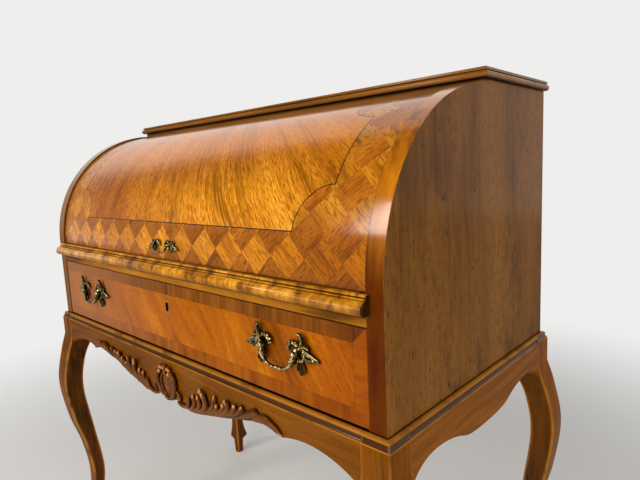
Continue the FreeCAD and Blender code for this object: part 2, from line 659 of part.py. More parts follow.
def case():
    pair("side_panel", side_panel())
    bottom = PANEL_IN + HOUSING - JOINT_GAP
    nodes["case_bottom"] = box(-bottom, bottom, BOTTOM_Y, BACK_IN, STAND_H, BOTTOM_TOP)
    back = PANEL_IN + BACK_LAP - JOINT_GAP
    nodes["back_panel"] = box(-back, back, BACK_IN, REAR_Y, STAND_H, CASE_TOP)
    nodes["frieze_rail"] = box(-CASE_W / 2, CASE_W / 2, FRIEZE_Y, FRIEZE_Y + FRIEZE_T, FRIEZE_Z, CASE_TOP)
    nodes["top_board"] = top_board()
    nodes["drawer_rail"] = drawer_rail()
    pair("slide_runner", slide_runner())
    dust = PANEL_IN - RUNNER_W + DUST_GROOVE - JOINT_GAP
    dust_y = RAIL_END_Y - DUST_GROOVE + JOINT_GAP
    nodes["dust_panel"] = box(-dust, dust, dust_y, BACK_IN, DUST_Z, DUST_Z + DUST_T)
    nodes["drawer_stops"] = drawer_stops()
    pin_start = V(LID_HALF - ARM_T, AXIS_Y, AXIS_Z)
    pin_end = V(PANEL_IN + PIN_IN_PANEL, AXIS_Y, AXIS_Z)
    pair("pivot_pin", cylinder(PIN_R, pin_start, pin_end))


# Gallery behind the lid
GALLERY_IN_Y = GALLERY_END_Y - GALLERY_BACK_T
END_IN = BAY_HALF - GALLERY_T


def gallery():
    narrow = box(-BAY_HALF, BAY_HALF, GALLERY_Y, GALLERY_END_Y, FLOOR_Z, FLOOR_TOP)
    wing = PANEL_IN + HOUSING - JOINT_GAP
    wide = box(-wing, wing, WING_Y, GALLERY_END_Y, FLOOR_Z, FLOOR_TOP)
    nodes["gallery_floor"] = narrow.fuse(wide).removeSplitter()
    pair("gallery_end", box(END_IN, BAY_HALF, GALLERY_Y, GALLERY_IN_Y, FLOOR_TOP, GALLERY_TOP_Z))
    top = GALLERY_TOP_Z + GALLERY_T
    nodes["gallery_top"] = box(-BAY_HALF, BAY_HALF, GALLERY_Y, GALLERY_IN_Y, GALLERY_TOP_Z, top)
    nodes["gallery_back"] = box(-BAY_HALF, BAY_HALF, GALLERY_IN_Y, GALLERY_END_Y, FLOOR_TOP, top)
    nodes["gallery_shelf"] = box(-END_IN, END_IN, GALLERY_Y, GALLERY_IN_Y, SHELF_Z, SHELF_TOP)
    divider = box(CENTRE_BAY / 2, CENTRE_BAY / 2 + SHELF_T, GALLERY_Y, GALLERY_IN_Y, FLOOR_TOP, SHELF_Z)
    nodes["drawer_dividers"] = group([divider, mirrored(divider)])
    hole_w = (2 * END_IN - PARTITIONS * SHELF_T) / (PARTITIONS + 1)
    starts = [-END_IN + (i + 1) * hole_w + i * SHELF_T for i in range(PARTITIONS)]
    nodes["pigeonhole_partitions"] = group(
        [box(x, x + SHELF_T, GALLERY_Y, GALLERY_IN_Y, SHELF_TOP, GALLERY_TOP_Z) for x in starts])


def turned_knob():
    """Knob with a collar, a waist and a chamfered head, on a shank that goes through the drawer front."""
    waist = 0.55 * KNOB_R
    collar = 0.85 * KNOB_R
    profile = lines((0, KNOB_L), (0, -SMALL_FRONT_T), (KNOB_SHANK_R, -SMALL_FRONT_T), (KNOB_SHANK_R, 0),
                    (collar, 0), (collar, 0.1 * KNOB_L), (waist, 0.2 * KNOB_L), (waist, 0.4 * KNOB_L),
                    (KNOB_R, 0.62 * KNOB_L), (KNOB_R, 0.8 * KNOB_L), (0.6 * KNOB_R, KNOB_L), (0, KNOB_L))
    return face(profile).revolve(V(), V(0, 0, 1), 360)


def small_drawer():
    """Right small drawer: front, tray of two sides, back and bottom, and a turned knob."""
    x0 = CENTRE_BAY / 2 + SHELF_T + SMALL_CLEAR
    x1 = END_IN - SMALL_CLEAR
    z0 = FLOOR_TOP + RUN_GAP
    z1 = SHELF_Z - SMALL_CLEAR
    y0 = GALLERY_Y
    y1 = y0 + SMALL_FRONT_T
    y2 = GALLERY_IN_Y - SMALL_TAIL
    knob_x = (x0 + x1) / 2
    knob_z = (z0 + z1) / 2
    shank = cylinder(KNOB_SHANK_R + JOINT_GAP, V(knob_x, y0, knob_z), V(knob_x, y1, knob_z))
    front = box(x0, x1, y0, y1, z0, z1).cut(shank)
    side_top = z1 - 2 * TRAY_BOTTOM_T
    tray = [box(x0, x0 + TRAY_T, y1, y2, z0, side_top), box(x1 - TRAY_T, x1, y1, y2, z0, side_top),
            box(x0 + TRAY_T, x1 - TRAY_T, y2 - TRAY_T, y2, z0, side_top),
            box(x0 + TRAY_T, x1 - TRAY_T, y1, y2 - TRAY_T, z0, z0 + TRAY_BOTTOM_T)]
    knob = turned_knob()
    knob.rotate(V(), V(1, 0, 0), 90)
    knob.translate(V(knob_x, y0, knob_z))
    pair("small_drawer_front", front)
    pair("small_drawer_tray", group(tray))
    pair("small_drawer_knob", knob)


# Lid
LID_LOW = -degrees(asin(LID_DROP / LID_R))


def on_lid(angle, radius):
    """Point of the lid's section, angle from the front upward."""
    return (AXIS_Y - radius * cos(radians(angle)), AXIS_Z + radius * sin(radians(angle)))


def lid_arc(radius):
    middle = (LID_LOW + LID_TUCK) / 2
    return arc(on_lid(LID_LOW, radius), on_lid(middle, radius), on_lid(LID_TUCK, radius))


def lid_shell():
    ends = [line(on_lid(a, LID_IN_R), on_lid(a, LID_R)) for a in (LID_LOW, LID_TUCK)]
    return along_x(face([lid_arc(LID_R), lid_arc(LID_IN_R)] + ends), -LID_HALF, LID_HALF)


def lid_arm():
    """Sector that carries the right end of the lid on its pivot."""
    radius = LID_IN_R - JOINT_GAP
    centre = (AXIS_Y, AXIS_Z)
    edges = [line(centre, on_lid(angle, radius)) for angle in (LID_LOW, LID_TUCK)]
    wedge = face([lid_arc(radius)] + edges)
    x0 = LID_HALF - ARM_T
    plate = along_x(wedge, x0, LID_HALF)
    hub = cylinder(HUB_R, V(x0, AXIS_Y, AXIS_Z), V(LID_HALF, AXIS_Y, AXIS_Z))
    hole = cylinder(PIN_R + PIN_CLEAR, V(x0 - PAST, AXIS_Y, AXIS_Z), V(LID_HALF + PAST, AXIS_Y, AXIS_Z))
    return plate.fuse(hub).removeSplitter().cut(hole)


# Handles, drawn about the pivot's middle: X across, -Y outward, Z up
MOUNT_T = 3.5                # thickness of a mount's leaves
MOUNT_ROOT = 4.0             # roots of the leaves beside the stem
TOP_LEAF = (33.0, 12.0)      # length and width of the leaf that points up
WING_LEAF = (43.0, 17.0)     # outer leaf
TUFT_LEAF = (33.0, 11.0)     # leaf that points down
CURL_LEAF = (24.0, 12.0)     # inner leaf
EYE_NECK = 3.2               # neck between leaves and eye
BOSS_RIM = 4.2               # boss round the neck
LID_MOUNT_SCALE = 0.42       # mounts of the lid's handle beside those of the drawer
BAIL_BEND = 0.6              # bend radius of the lid's bail as a share of its drop
NECKED_BEND = 0.45           # and of a bail with turned necks
NECK_TOP = -5.4              # turned neck under the pivot: start, two collars with a waist, and taper
COLLAR_R = 6.0
COLLAR_H = 1.6
WAIST_R = 4.4
WAIST_H = 1.2
NECK_SLOPE = 1.0             # height of the slopes beside a collar


def mount(span, out, scale, through):
    """Right mount of a handle: leaves against the wood, a neck with the eye, and the threaded stem."""
    x = span / 2
    root = MOUNT_ROOT * scale
    leaves = [((x, -root), 6, TOP_LEAF), ((x, root), 104, WING_LEAF),
              ((x, -0.5 * root), 182, TUFT_LEAF), ((x + 0.5 * root, 0.75 * root), -75, CURL_LEAF)]
    slabs = [along_y(leaf(start, lean, size[0] * scale, size[1] * scale), out - MOUNT_T, out)
             for start, lean, size in leaves]
    boss = cylinder(EYE_NECK + BOSS_RIM * scale, V(x, out - 1.5 * MOUNT_T, 0), V(x, out, 0))
    neck = cylinder(EYE_NECK, V(x, 0, 0), V(x, out, 0))
    eye = cylinder(EYE_R, V(x - EYE_L / 2, 0, 0), V(x + EYE_L / 2, 0, 0))
    stem = cylinder(STEM_R, V(x, out - PAST, 0), V(x, out + through + NUT_T, 0))
    hole = cylinder(PIVOT_R + PIN_CLEAR, V(x - EYE_L, 0, 0), V(x + EYE_L, 0, 0))
    return slabs[0].fuse(slabs[1:] + [boss, neck, eye, stem]).cut(hole).removeSplitter()


def turned_neck(side, end_r, end_z):
    """Neck turned about a limb of a bail: collar, waist, collar and a taper into the bar."""
    profile = [(0, NECK_TOP), (WAIST_R, NECK_TOP)]
    z = NECK_TOP
    for _ in range(2):
        profile.append((COLLAR_R, z - NECK_SLOPE))
        profile.append((COLLAR_R, z - NECK_SLOPE - COLLAR_H))
        profile.append((WAIST_R, z - 2 * NECK_SLOPE - COLLAR_H))
        z -= 2 * NECK_SLOPE + COLLAR_H + WAIST_H
        profile.append((WAIST_R, z))
    profile += [(end_r, end_z), (0, end_z), (0, NECK_TOP)]
    outline = Part.Face(Part.makePolygon([V(side + r, 0, height) for r, height in profile]))
    return outline.revolve(V(side, 0, 0), V(0, 0, 1), 360)


def bail(span, drop, radius, bend_share, necked=False):
    """Swinging grip: a round bar bent down and across, with a pivot turned out at each end."""
    side = span / 2 - EYE_L / 2 - radius - RUN_GAP
    bend = bend_share * drop
    bend_z = bend - drop
    limb = cylinder(radius, V(side, 0, radius), V(side, 0, bend_z))
    section = Part.Face(Part.Wire(Part.makeCircle(radius, V(side, 0, bend_z), V(0, 0, -1))))
    corner = section.revolve(V(side - bend, 0, bend_z), V(0, 1, 0), 90)
    pivot = cylinder(PIVOT_R, V(side, 0, 0), V(span / 2 + EYE_L / 2, 0, 0))
    bar = cylinder(radius, V(bend - side, 0, -drop), V(side - bend, 0, -drop))
    half = [limb, corner, pivot]
    if necked:
        half.append(turned_neck(side, radius, bend_z))
    return bar.fuse(half + [mirrored(solid) for solid in half]).removeSplitter()


def nuts(span, out, through):
    """Square nuts on the stems of a handle."""
    solids = []
    for s in (-1, 1):
        x = s * span / 2
        y = out + through
        nut = box(x - NUT_W / 2, x + NUT_W / 2, y, y + NUT_T, -NUT_W / 2, NUT_W / 2)
        solids.append(nut.cut(cylinder(STEM_R + JOINT_GAP, V(x, y - PAST, 0), V(x, y + NUT_T + PAST, 0))))
    return solids


def stem_holes(span, out, through):
    start = V(span / 2, out - PAST, 0)
    right = cylinder(STEM_R + JOINT_GAP, start, V(span / 2, out + through + PAST, 0))
    return [right, mirrored(right)]


def drawer_placed(shape, side):
    placed = shape.copy()
    placed.translate(V(side * HANDLE_X, FRONT_Y - HANDLE_OUT, STAND_H + HANDLE_UP))
    return placed


LID_HANDLE_TILT = degrees(asin(LID_HANDLE_UP / LID_R))


def lid_placed(shape):
    """Carry a handle part to its place on the round of the lid."""
    placed = shape.copy()
    placed.translate(V(0, -LID_R - LID_HANDLE_OUT, 0))
    placed.rotate(V(), V(1, 0, 0), -LID_HANDLE_TILT)
    placed.translate(V(0, AXIS_Y, AXIS_Z))
    return placed


def lid():
    holes = [lid_placed(hole) for hole in stem_holes(LID_HANDLE_SPAN, LID_HANDLE_OUT, LID_T)]
    nodes["lid_shell"] = lid_shell().cut(holes)
    pair("lid_arm", lid_arm())
    right = lid_placed(mount(LID_HANDLE_SPAN, LID_HANDLE_OUT, LID_MOUNT_SCALE, LID_T))
    nodes["lid_handle_mounts"] = group([right, mirrored(right)])
    nodes["lid_bail"] = lid_placed(bail(LID_HANDLE_SPAN, LID_HANDLE_DROP, LID_BAIL_R, BAIL_BEND))
    nut_seat = LID_T + JOINT_GAP
    fixings = nuts(LID_HANDLE_SPAN, LID_HANDLE_OUT, nut_seat)
    nodes["lid_handle_nuts"] = group([lid_placed(nut) for nut in fixings])


# Writing slide
def round_from(nose, end):
    """Arc that leaves the nose of a moulding upright and runs in to the end point."""
    du = end[0] - nose[0]
    dw = end[1] - nose[1]
    radius = (du * du + dw * dw) / (2 * du)
    turn = atan2(dw, radius - du) / 2
    return arc(nose, (nose[0] + radius * (1 - cos(turn)), nose[1] + radius * sin(turn)), end)


def slide_moulding():
    """Front edge of the slide: lip, quirk, fillet and a full round that is undercut at its foot."""
    y = FRONT_Y - RUN_GAP
    lip_z = SLIDE_TOP - MOULD_LIP_H
    fillet_top = lip_z - MOULD_QUIRK
    fillet_z = fillet_top - MOULD_FILLET_H
    nose_z = MOULD_Z + MOULD_NOSE_H
    lip_y = y - MOULD_LIP_OUT
    quirk_y = lip_y + MOULD_QUIRK
    fillet_y = y - MOULD_FILLET_OUT
    foot = (y - MOULD_FOOT_OUT, MOULD_Z)
    outline = lines((y, MOULD_Z), (y, SLIDE_TOP), (lip_y, SLIDE_TOP), (lip_y, lip_z), (quirk_y, lip_z),
                    (quirk_y, fillet_top), (fillet_y, fillet_top), (fillet_y, fillet_z))
    nose = (y - MOULD_OUT, nose_z)
    outline += [round_from(nose, (fillet_y, fillet_z)), round_from(nose, foot), line(foot, (y, MOULD_Z))]
    half = PANEL_IN + MOULD_LAP
    return along_x(face(outline), -half, half)


def writing_slide():
    y = FRONT_Y - RUN_GAP
    nodes["slide_board"] = box(-BAY_HALF, BAY_HALF, y, y + SLIDE_L, SLIDE_Z, SLIDE_TOP)
    nodes["slide_moulding"] = slide_moulding()


# Drawer
BOX_Z = BOTTOM_TOP + RUN_GAP
BOX_TOP = FRONT_TOP - SIDE_DROP
FRONT_BACK_Y = FRONT_Y + FRONT_T
LOCK_Y = FRONT_BACK_Y - LOCK_T
DRAWER_BOARD_Z = BOX_Z + DRAWER_BOTTOM_UP
KEY_Z = STAND_H + KEYHOLE_UP


def slot(width, height, y0, y1):
    """Upright slot with round ends, at the keyhole."""
    r = width / 2
    low = KEY_Z - height / 2 + r
    high = KEY_Z + height / 2 - r
    outline = [line((r, low), (r, high)), arc((r, high), (0, high + r), (-r, high)),
               line((-r, high), (-r, low)), arc((-r, low), (0, low - r), (r, low))]
    return along_y(face(outline), y0, y1)


def lock_parts():
    """Lock let into the back of the drawer front, with its bolt in a slot that opens at the top."""
    low = FRONT_TOP - LOCK_H + JOINT_GAP
    body = box(-LOCK_W / 2, LOCK_W / 2, LOCK_Y + JOINT_GAP, FRONT_BACK_Y, low, FRONT_TOP)
    middle = FRONT_BACK_Y - LOCK_T / 2
    half_w = BOLT_W / 2
    half_t = BOLT_T / 2
    way_w = half_w + BOLT_SLIP
    way_t = half_t + BOLT_SLIP
    way = box(-way_w, way_w, middle - way_t, middle + way_t, FRONT_TOP - BOLT_H - BOLT_SLIP, FRONT_TOP)
    pocket = slot(KEYHOLE_W - 2 * LINER_WALL, KEYHOLE_H - 2 * LINER_WALL, LOCK_Y, LOCK_Y + KEY_POCKET)
    nodes["drawer_lock"] = body.cut([way, pocket])
    nodes["lock_bolt"] = box(-half_w, half_w, middle - half_t, middle + half_t,
                             FRONT_TOP - BOLT_H, FRONT_TOP - BOLT_SLIP)


def drawer_front():
    solid = box(-DRAWER_HALF, DRAWER_HALF, FRONT_Y, FRONT_BACK_Y, FRONT_Z, FRONT_TOP)
    in_sides = DRAWER_HALF - SIDE_T
    recess = LOCK_W / 2 + JOINT_GAP
    cuts = [box(-recess, recess, LOCK_Y, FRONT_BACK_Y, FRONT_TOP - LOCK_H, FRONT_TOP),
            slot(KEYHOLE_W + 2 * JOINT_GAP, KEYHOLE_H + 2 * JOINT_GAP, FRONT_Y, LOCK_Y),
            box(-in_sides, in_sides, FRONT_BACK_Y - GROOVE, FRONT_BACK_Y, DRAWER_BOARD_Z,
                DRAWER_BOARD_Z + DRAWER_BOTTOM_T)]
    for side in (-1, 1):
        cuts += [drawer_placed(hole, side) for hole in stem_holes(HANDLE_SPAN, HANDLE_OUT, FRONT_T)]
    return solid.cut(cuts)


def drawer():
    in_sides = DRAWER_HALF - SIDE_T
    board_top = DRAWER_BOARD_Z + DRAWER_BOTTOM_T
    nodes["drawer_front"] = drawer_front()
    groove = box(in_sides, in_sides + GROOVE, FRONT_BACK_Y, DRAWER_END_Y, DRAWER_BOARD_Z, board_top)
    pair("drawer_side", box(in_sides, DRAWER_HALF, FRONT_BACK_Y, DRAWER_END_Y, BOX_Z, BOX_TOP).cut(groove))
    nodes["drawer_back"] = box(-in_sides, in_sides, DRAWER_END_Y - SIDE_T, DRAWER_END_Y, board_top, BOX_TOP)
    board = in_sides + GROOVE - JOINT_GAP
    front_tongue = box(-in_sides + JOINT_GAP, in_sides - JOINT_GAP, FRONT_BACK_Y - GROOVE + JOINT_GAP,
                       FRONT_BACK_Y + GROOVE, DRAWER_BOARD_Z, board_top)
    sheet = box(-board, board, FRONT_BACK_Y + JOINT_GAP, DRAWER_END_Y, DRAWER_BOARD_Z, board_top)
    nodes["drawer_bottom"] = sheet.fuse(front_tongue).removeSplitter()
    lock_parts()
    walls = 2 * LINER_WALL
    bore = slot(KEYHOLE_W - walls, KEYHOLE_H - walls, FRONT_Y, LOCK_Y)
    nodes["keyhole_liner"] = slot(KEYHOLE_W, KEYHOLE_H, FRONT_Y, LOCK_Y).cut(bore)
    right = mount(HANDLE_SPAN, HANDLE_OUT, 1.0, FRONT_T)
    mounts = [right, mirrored(right)]
    grip = bail(HANDLE_SPAN, HANDLE_DROP, BAIL_R, NECKED_BEND, necked=True)
    fixings = []
    for name, side in (("right", 1), ("left", -1)):
        nodes["handle_mounts_" + name] = group([drawer_placed(solid, side) for solid in mounts])
        nodes["bail_" + name] = drawer_placed(grip, side)
        fixings += [drawer_placed(nut, side) for nut in nuts(HANDLE_SPAN, HANDLE_OUT, FRONT_T)]
    nodes["drawer_handle_nuts"] = group(fixings)


stand()
case()
gallery()
small_drawer()
lid()
writing_slide()
drawer()

os.makedirs("parts", exist_ok=True)
for name, shape in nodes.items():
    shape.exportStep("parts/" + name + ".step")
print(len(nodes), "nodes")
print("lid axis at y", round(AXIS_Y, 2), "z", round(AXIS_Z, 2), "; top at z", round(CASE_TOP + TOP_T, 2))
for name, shape in nodes.items():
    if not shape.isValid():
        print("not valid:", name)
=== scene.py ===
# %% [markdown]
# # Dressing a cylinder desk
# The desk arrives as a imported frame: every board, leg, pin and handle already has its real size and place.
# This lesson gives it its looks. The camera comes first, then the woods, the light and the brass, and last
# the curved, carved and cast pieces, which are worked out as surfaces. A desk could be dressed by hand in
# the viewport too, but a script can be read, changed and run again.

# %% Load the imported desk
import json
from math import atan2, cos, hypot, pi, radians, sin

import bmesh
import bpy
import numpy as np
from mathutils import Matrix, Vector


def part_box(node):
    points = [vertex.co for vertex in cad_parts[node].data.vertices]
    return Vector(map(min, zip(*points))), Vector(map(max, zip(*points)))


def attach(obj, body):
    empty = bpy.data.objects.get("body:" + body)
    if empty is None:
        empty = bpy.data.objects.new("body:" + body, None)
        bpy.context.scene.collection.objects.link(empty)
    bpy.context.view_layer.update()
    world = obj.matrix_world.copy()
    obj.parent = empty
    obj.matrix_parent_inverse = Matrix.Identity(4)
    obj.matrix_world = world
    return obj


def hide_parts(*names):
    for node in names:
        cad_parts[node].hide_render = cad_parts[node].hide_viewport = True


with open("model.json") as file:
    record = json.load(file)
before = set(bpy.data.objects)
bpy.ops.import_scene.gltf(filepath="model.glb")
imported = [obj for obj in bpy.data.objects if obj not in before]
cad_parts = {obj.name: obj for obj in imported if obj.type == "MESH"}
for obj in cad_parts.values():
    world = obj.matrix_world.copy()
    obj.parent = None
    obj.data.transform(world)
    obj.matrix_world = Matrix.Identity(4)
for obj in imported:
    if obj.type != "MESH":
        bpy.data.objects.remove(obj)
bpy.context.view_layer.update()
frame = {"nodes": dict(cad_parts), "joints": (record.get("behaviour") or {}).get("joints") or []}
NODES = frame["nodes"]
scene = bpy.context.scene

# %% [markdown]
# ## Camera
# The desk is seen from close by, near its right front corner, through a wide lens, so its sides run together
# strongly. A Track To constraint could aim the camera, but it can't hold the slight roll. Here the place,
# three angles and a lens are written down as they were found by matching corners of the case.

# %% Camera
CAMERA_PLACE = Vector((0.8424, -0.7174, 0.9333))
CAMERA_YAW = radians(43.4445)
CAMERA_PITCH = radians(-7.88)
CAMERA_ROLL = radians(-2.6494)
CAMERA_LENS = 28.317
FILM_WIDTH = 36.0
NEAREST = 0.02


def aim(yaw, pitch, roll):
    """Turn of a camera: look along yaw (from +Y towards -X) and pitch, then roll about the line of sight."""
    forward = Vector((-sin(yaw) * cos(pitch), cos(yaw) * cos(pitch), sin(pitch)))
    level = Vector((cos(yaw), sin(yaw), 0.0))
    upright = level.cross(forward)
    right = cos(roll) * level + sin(roll) * upright
    top = -sin(roll) * level + cos(roll) * upright
    return Matrix((right, top, -forward)).transposed().to_quaternion()


camera = bpy.data.objects.new("camera", bpy.data.cameras.new("camera"))
camera.data.lens = CAMERA_LENS
camera.data.sensor_width = FILM_WIDTH
camera.data.clip_start = NEAREST
camera.location = CAMERA_PLACE
camera.rotation_mode = "QUATERNION"
camera.rotation_quaternion = aim(CAMERA_YAW, CAMERA_PITCH, CAMERA_ROLL)
scene.collection.objects.link(camera)
scene.camera = camera
print("camera at", [round(v, 3) for v in camera.location])

# %% [markdown]
# ## Node helpers
# A finish is a small network of nodes. It could be wired by hand in the Shader Editor, but the same few nodes
# come up again and again. These helpers each add one node and hand back its output, so that a finish reads
# like a formula. A number goes straight to a socket, and an output is linked to it.

# %% Adding and feeding nodes
def feed(tree, socket, value):
    """Give a socket a value or a link."""
    if isinstance(value, bpy.types.NodeSocket):
        tree.links.new(value, socket)
    elif isinstance(value, tuple) and len(value) == 3 and socket.type == "RGBA":
        socket.default_value = (*value, 1.0)
    else:
        socket.default_value = value


def put(tree, kind, inputs=None, **settings):
    """Add a node of a kind with its settings, and feed its inputs by name or number."""
    made = tree.nodes.new("ShaderNode" + kind)
    for key, value in settings.items():
        setattr(made, key, value)
    for key, value in (inputs or {}).items():
        feed(tree, made.inputs[key], value)
    return made


def calc(tree, operation, a, b=0.0, c=0.0):
    """One step of arithmetic on up to three values."""
    return put(tree, "Math", {0: a, 1: b, 2: c}, operation=operation).outputs[0]


def times(tree, a, b):
    """The product of two values."""
    return calc(tree, "MULTIPLY", a, b)


def plus(tree, a, b):
    """The sum of two values."""
    return calc(tree, "ADD", a, b)


def less(tree, a, b):
    """The first value less the second."""
    return calc(tree, "SUBTRACT", a, b)


def smooth_step(tree, value, low, high):
    """0 below low, 1 above high, and a smooth rise between them; a fall where low is the larger."""
    inputs = {"Value": value, "From Min": low, "From Max": high}
    return put(tree, "MapRange", inputs, interpolation_type="SMOOTHSTEP").outputs[0]


def blend(tree, share, a, b, way="MIX"):
    """A share of the second colour over the first, or multiplied into it."""
    made = put(tree, "Mix", {0: share, 6: a, 7: b}, data_type="RGBA", blend_type=way)
    return made.outputs[2]


print("arithmetic and colour helpers ready")

# %% Patterns, places and new finishes
def noise(tree, vector, scale, detail=2.0, rough=0.5, swirl=0.0):
    """A cloudy pattern between 0 and 1, finer with a larger scale."""
    inputs = {"Vector": vector, "Scale": scale, "Detail": detail, "Roughness": rough, "Distortion": swirl}
    return put(tree, "TexNoise", inputs).outputs["Fac"]


def moved(tree, vector, stretch=(1, 1, 1), turn=(0, 0, 0)):
    """A vector stretched and turned, so that a pattern can follow a board."""
    return put(tree, "Mapping", {"Vector": vector, "Scale": stretch, "Rotation": turn}).outputs[0]


def object_place(tree):
    """The place of a point on the object's own axes."""
    return put(tree, "TexCoord").outputs["Object"]


def axes_of(tree, vector):
    """The three parts of a vector."""
    return put(tree, "SeparateXYZ", {0: vector}).outputs


def joined(tree, x, y, z):
    """A vector of three parts."""
    return put(tree, "CombineXYZ", {0: x, 1: y, 2: z}).outputs[0]


def wear_and_light_value(tree):
    """The value for wear and painted light that a piece carries on its points, or 0 where it carries none."""
    return put(tree, "Attribute", attribute_name="rubbed").outputs["Fac"]


def new_finish(name):
    """An empty finish: its node tree and its shader."""
    material = bpy.data.materials.new(name)
    material.use_nodes = True
    return material, material.node_tree, material.node_tree.nodes["Principled BSDF"]


print("pattern helpers ready")

# %% [markdown]
# ## Wood
# All the woods share one recipe. Broad clouds of tone follow the growth of the tree, narrow streaks are drawn
# out along the grain, and short dark pores lie between them. A picture of a board would show all that, but it
# repeats, and it can't be turned or toned. The recipe takes a vector whose third axis runs along the grain,
# so turning the vector turns the wood.

# %% Grain
WANDER_SCALE = 5.0
CLOUD_DRAW = (1, 1, 0.22)
CLOUD_NOISE = (3.0, 0.55, 0.4)
STREAK_DRAW = (1, 1, 0.05)
STREAK_NOISE = (3.0, 0.6)
STREAK_RELIEF = 0.4
PORE_NOISE = (1.0, 0.4)
DARK_TO_MIDDLE = (0.34, 0.5)
MIDDLE_TO_PALE = (0.48, 0.66)


def grain(tree, along, tones, clouds=7.0, streaks=85.0, pores=1300.0, wander=0.02, pored=0.3, figure=0.4,
          dash=0.06, pits=(0.46, 0.34)):
    """Wood along the third axis of a vector, as colour and height.

    The vector first wanders by a slow noise. Clouds, streaks and pores are three noises of rising pitch, each
    drawn out along the grain; clouds and streaks pick a tone between dark, middle and pale, and pores darken
    it. The figure is the streaks' share of the tone, a smaller dash draws the pores out longer, and pits
    tells where the pores' noise starts to darken the wood and where it is darkest.
    """
    slow = put(tree, "TexNoise", {"Vector": along, "Scale": WANDER_SCALE, "Detail": 1.0}).outputs["Color"]
    sway = put(tree, "VectorMath", {0: slow, 1: (wander, wander, wander)}, operation="MULTIPLY").outputs[0]
    wavy = put(tree, "VectorMath", {0: along, 1: sway}, operation="ADD").outputs[0]
    cloud = noise(tree, moved(tree, wavy, CLOUD_DRAW), clouds, *CLOUD_NOISE)
    streak = noise(tree, moved(tree, wavy, STREAK_DRAW), streaks, *STREAK_NOISE)
    pore = noise(tree, moved(tree, wavy, (1, 1, dash)), pores, *PORE_NOISE)
    share = calc(tree, "MULTIPLY_ADD", less(tree, streak, cloud), figure, cloud)
    dark, middle, pale = tones
    lower = blend(tree, smooth_step(tree, share, *DARK_TO_MIDDLE), dark, middle)
    tone = blend(tree, smooth_step(tree, share, *MIDDLE_TO_PALE), lower, pale)
    pit = smooth_step(tree, pore, *pits)
    colour = blend(tree, times(tree, pit, pored), tone, dark)
    height = less(tree, times(tree, streak, STREAK_RELIEF), pit)
    return colour, height


print("wood recipe ready")

# %% [markdown]
# ## Polish
# The desk is French polished: many thin coats of shellac, rubbed on with a pad. A low roughness alone would
# look like plastic, so the wood stays satin and a thin clear coat lies over it, uneven as a hand leaves it.
# The boards inside are oak without a coat.

# %% Polish and plain woods
SATIN = 0.02
HAZE_SCALE = 9.0
HAZE_RISE = 0.12
HAZE_DROP = 0.05
PORE_RELIEF = 0.35
PORE_DEPTH = 0.00012
ALONG_X = (0, radians(90), 0)
ALONG_Y = (radians(90), 0, 0)
CASE_TONES = ((0.09, 0.031, 0.003), (0.20, 0.076, 0.010), (0.26, 0.104, 0.016))
BACK_TONES = ((0.125, 0.045, 0.005), (0.19, 0.072, 0.010), (0.23, 0.090, 0.014))
OAK_TONES = ((0.22, 0.125, 0.055), (0.42, 0.27, 0.135), (0.55, 0.38, 0.21))
GALLERY_TONES = ((0.12, 0.042, 0.008), (0.29, 0.11, 0.02), (0.40, 0.17, 0.04))


def polish(tree, shader, colour, height, rough=0.36, coat=0.16, coat_rough=0.14):
    """French polish over wood: satin colour, a little relief of the pores and a clear coat.

    The roughness wavers about its value by a slow noise.
    """
    feed(tree, shader.inputs["Base Color"], colour)
    uneven = noise(tree, object_place(tree), HAZE_SCALE)
    haze = calc(tree, "MULTIPLY_ADD", uneven, HAZE_RISE, rough - HAZE_DROP)
    feed(tree, shader.inputs["Roughness"], haze)
    shader.inputs["Specular IOR Level"].default_value = SATIN
    feed(tree, shader.inputs["Coat Weight"], coat)
    shader.inputs["Coat Roughness"].default_value = coat_rough
    bump = put(tree, "Bump", {"Strength": PORE_RELIEF, "Distance": PORE_DEPTH, "Height": height})
    feed(tree, shader.inputs["Normal"], bump.outputs[0])


def plain_wood(name, tones, turn=(0, 0, 0), **look):
    """Solid wood whose grain runs along Z, or along another axis by turning the vector."""
    material, tree, shader = new_finish(name)
    polish_look = {key: look.pop(key) for key in ("rough", "coat") if key in look}
    colour, height = grain(tree, moved(tree, object_place(tree), turn=turn), tones, **look)
    polish(tree, shader, colour, height, **polish_look)
    return material


case_level = plain_wood("case_walnut_level", BACK_TONES, ALONG_X, figure=0.6)
oak_level = plain_wood("lining_oak_level", OAK_TONES, ALONG_X, rough=0.6, coat=0.0)
oak_deep = plain_wood("lining_oak_deep", OAK_TONES, ALONG_Y, rough=0.6, coat=0.0)
gallery_level = plain_wood("gallery_walnut_level", GALLERY_TONES, ALONG_X)
gallery_upright = plain_wood("gallery_walnut_upright", GALLERY_TONES)
print(len(bpy.data.materials), "finishes")
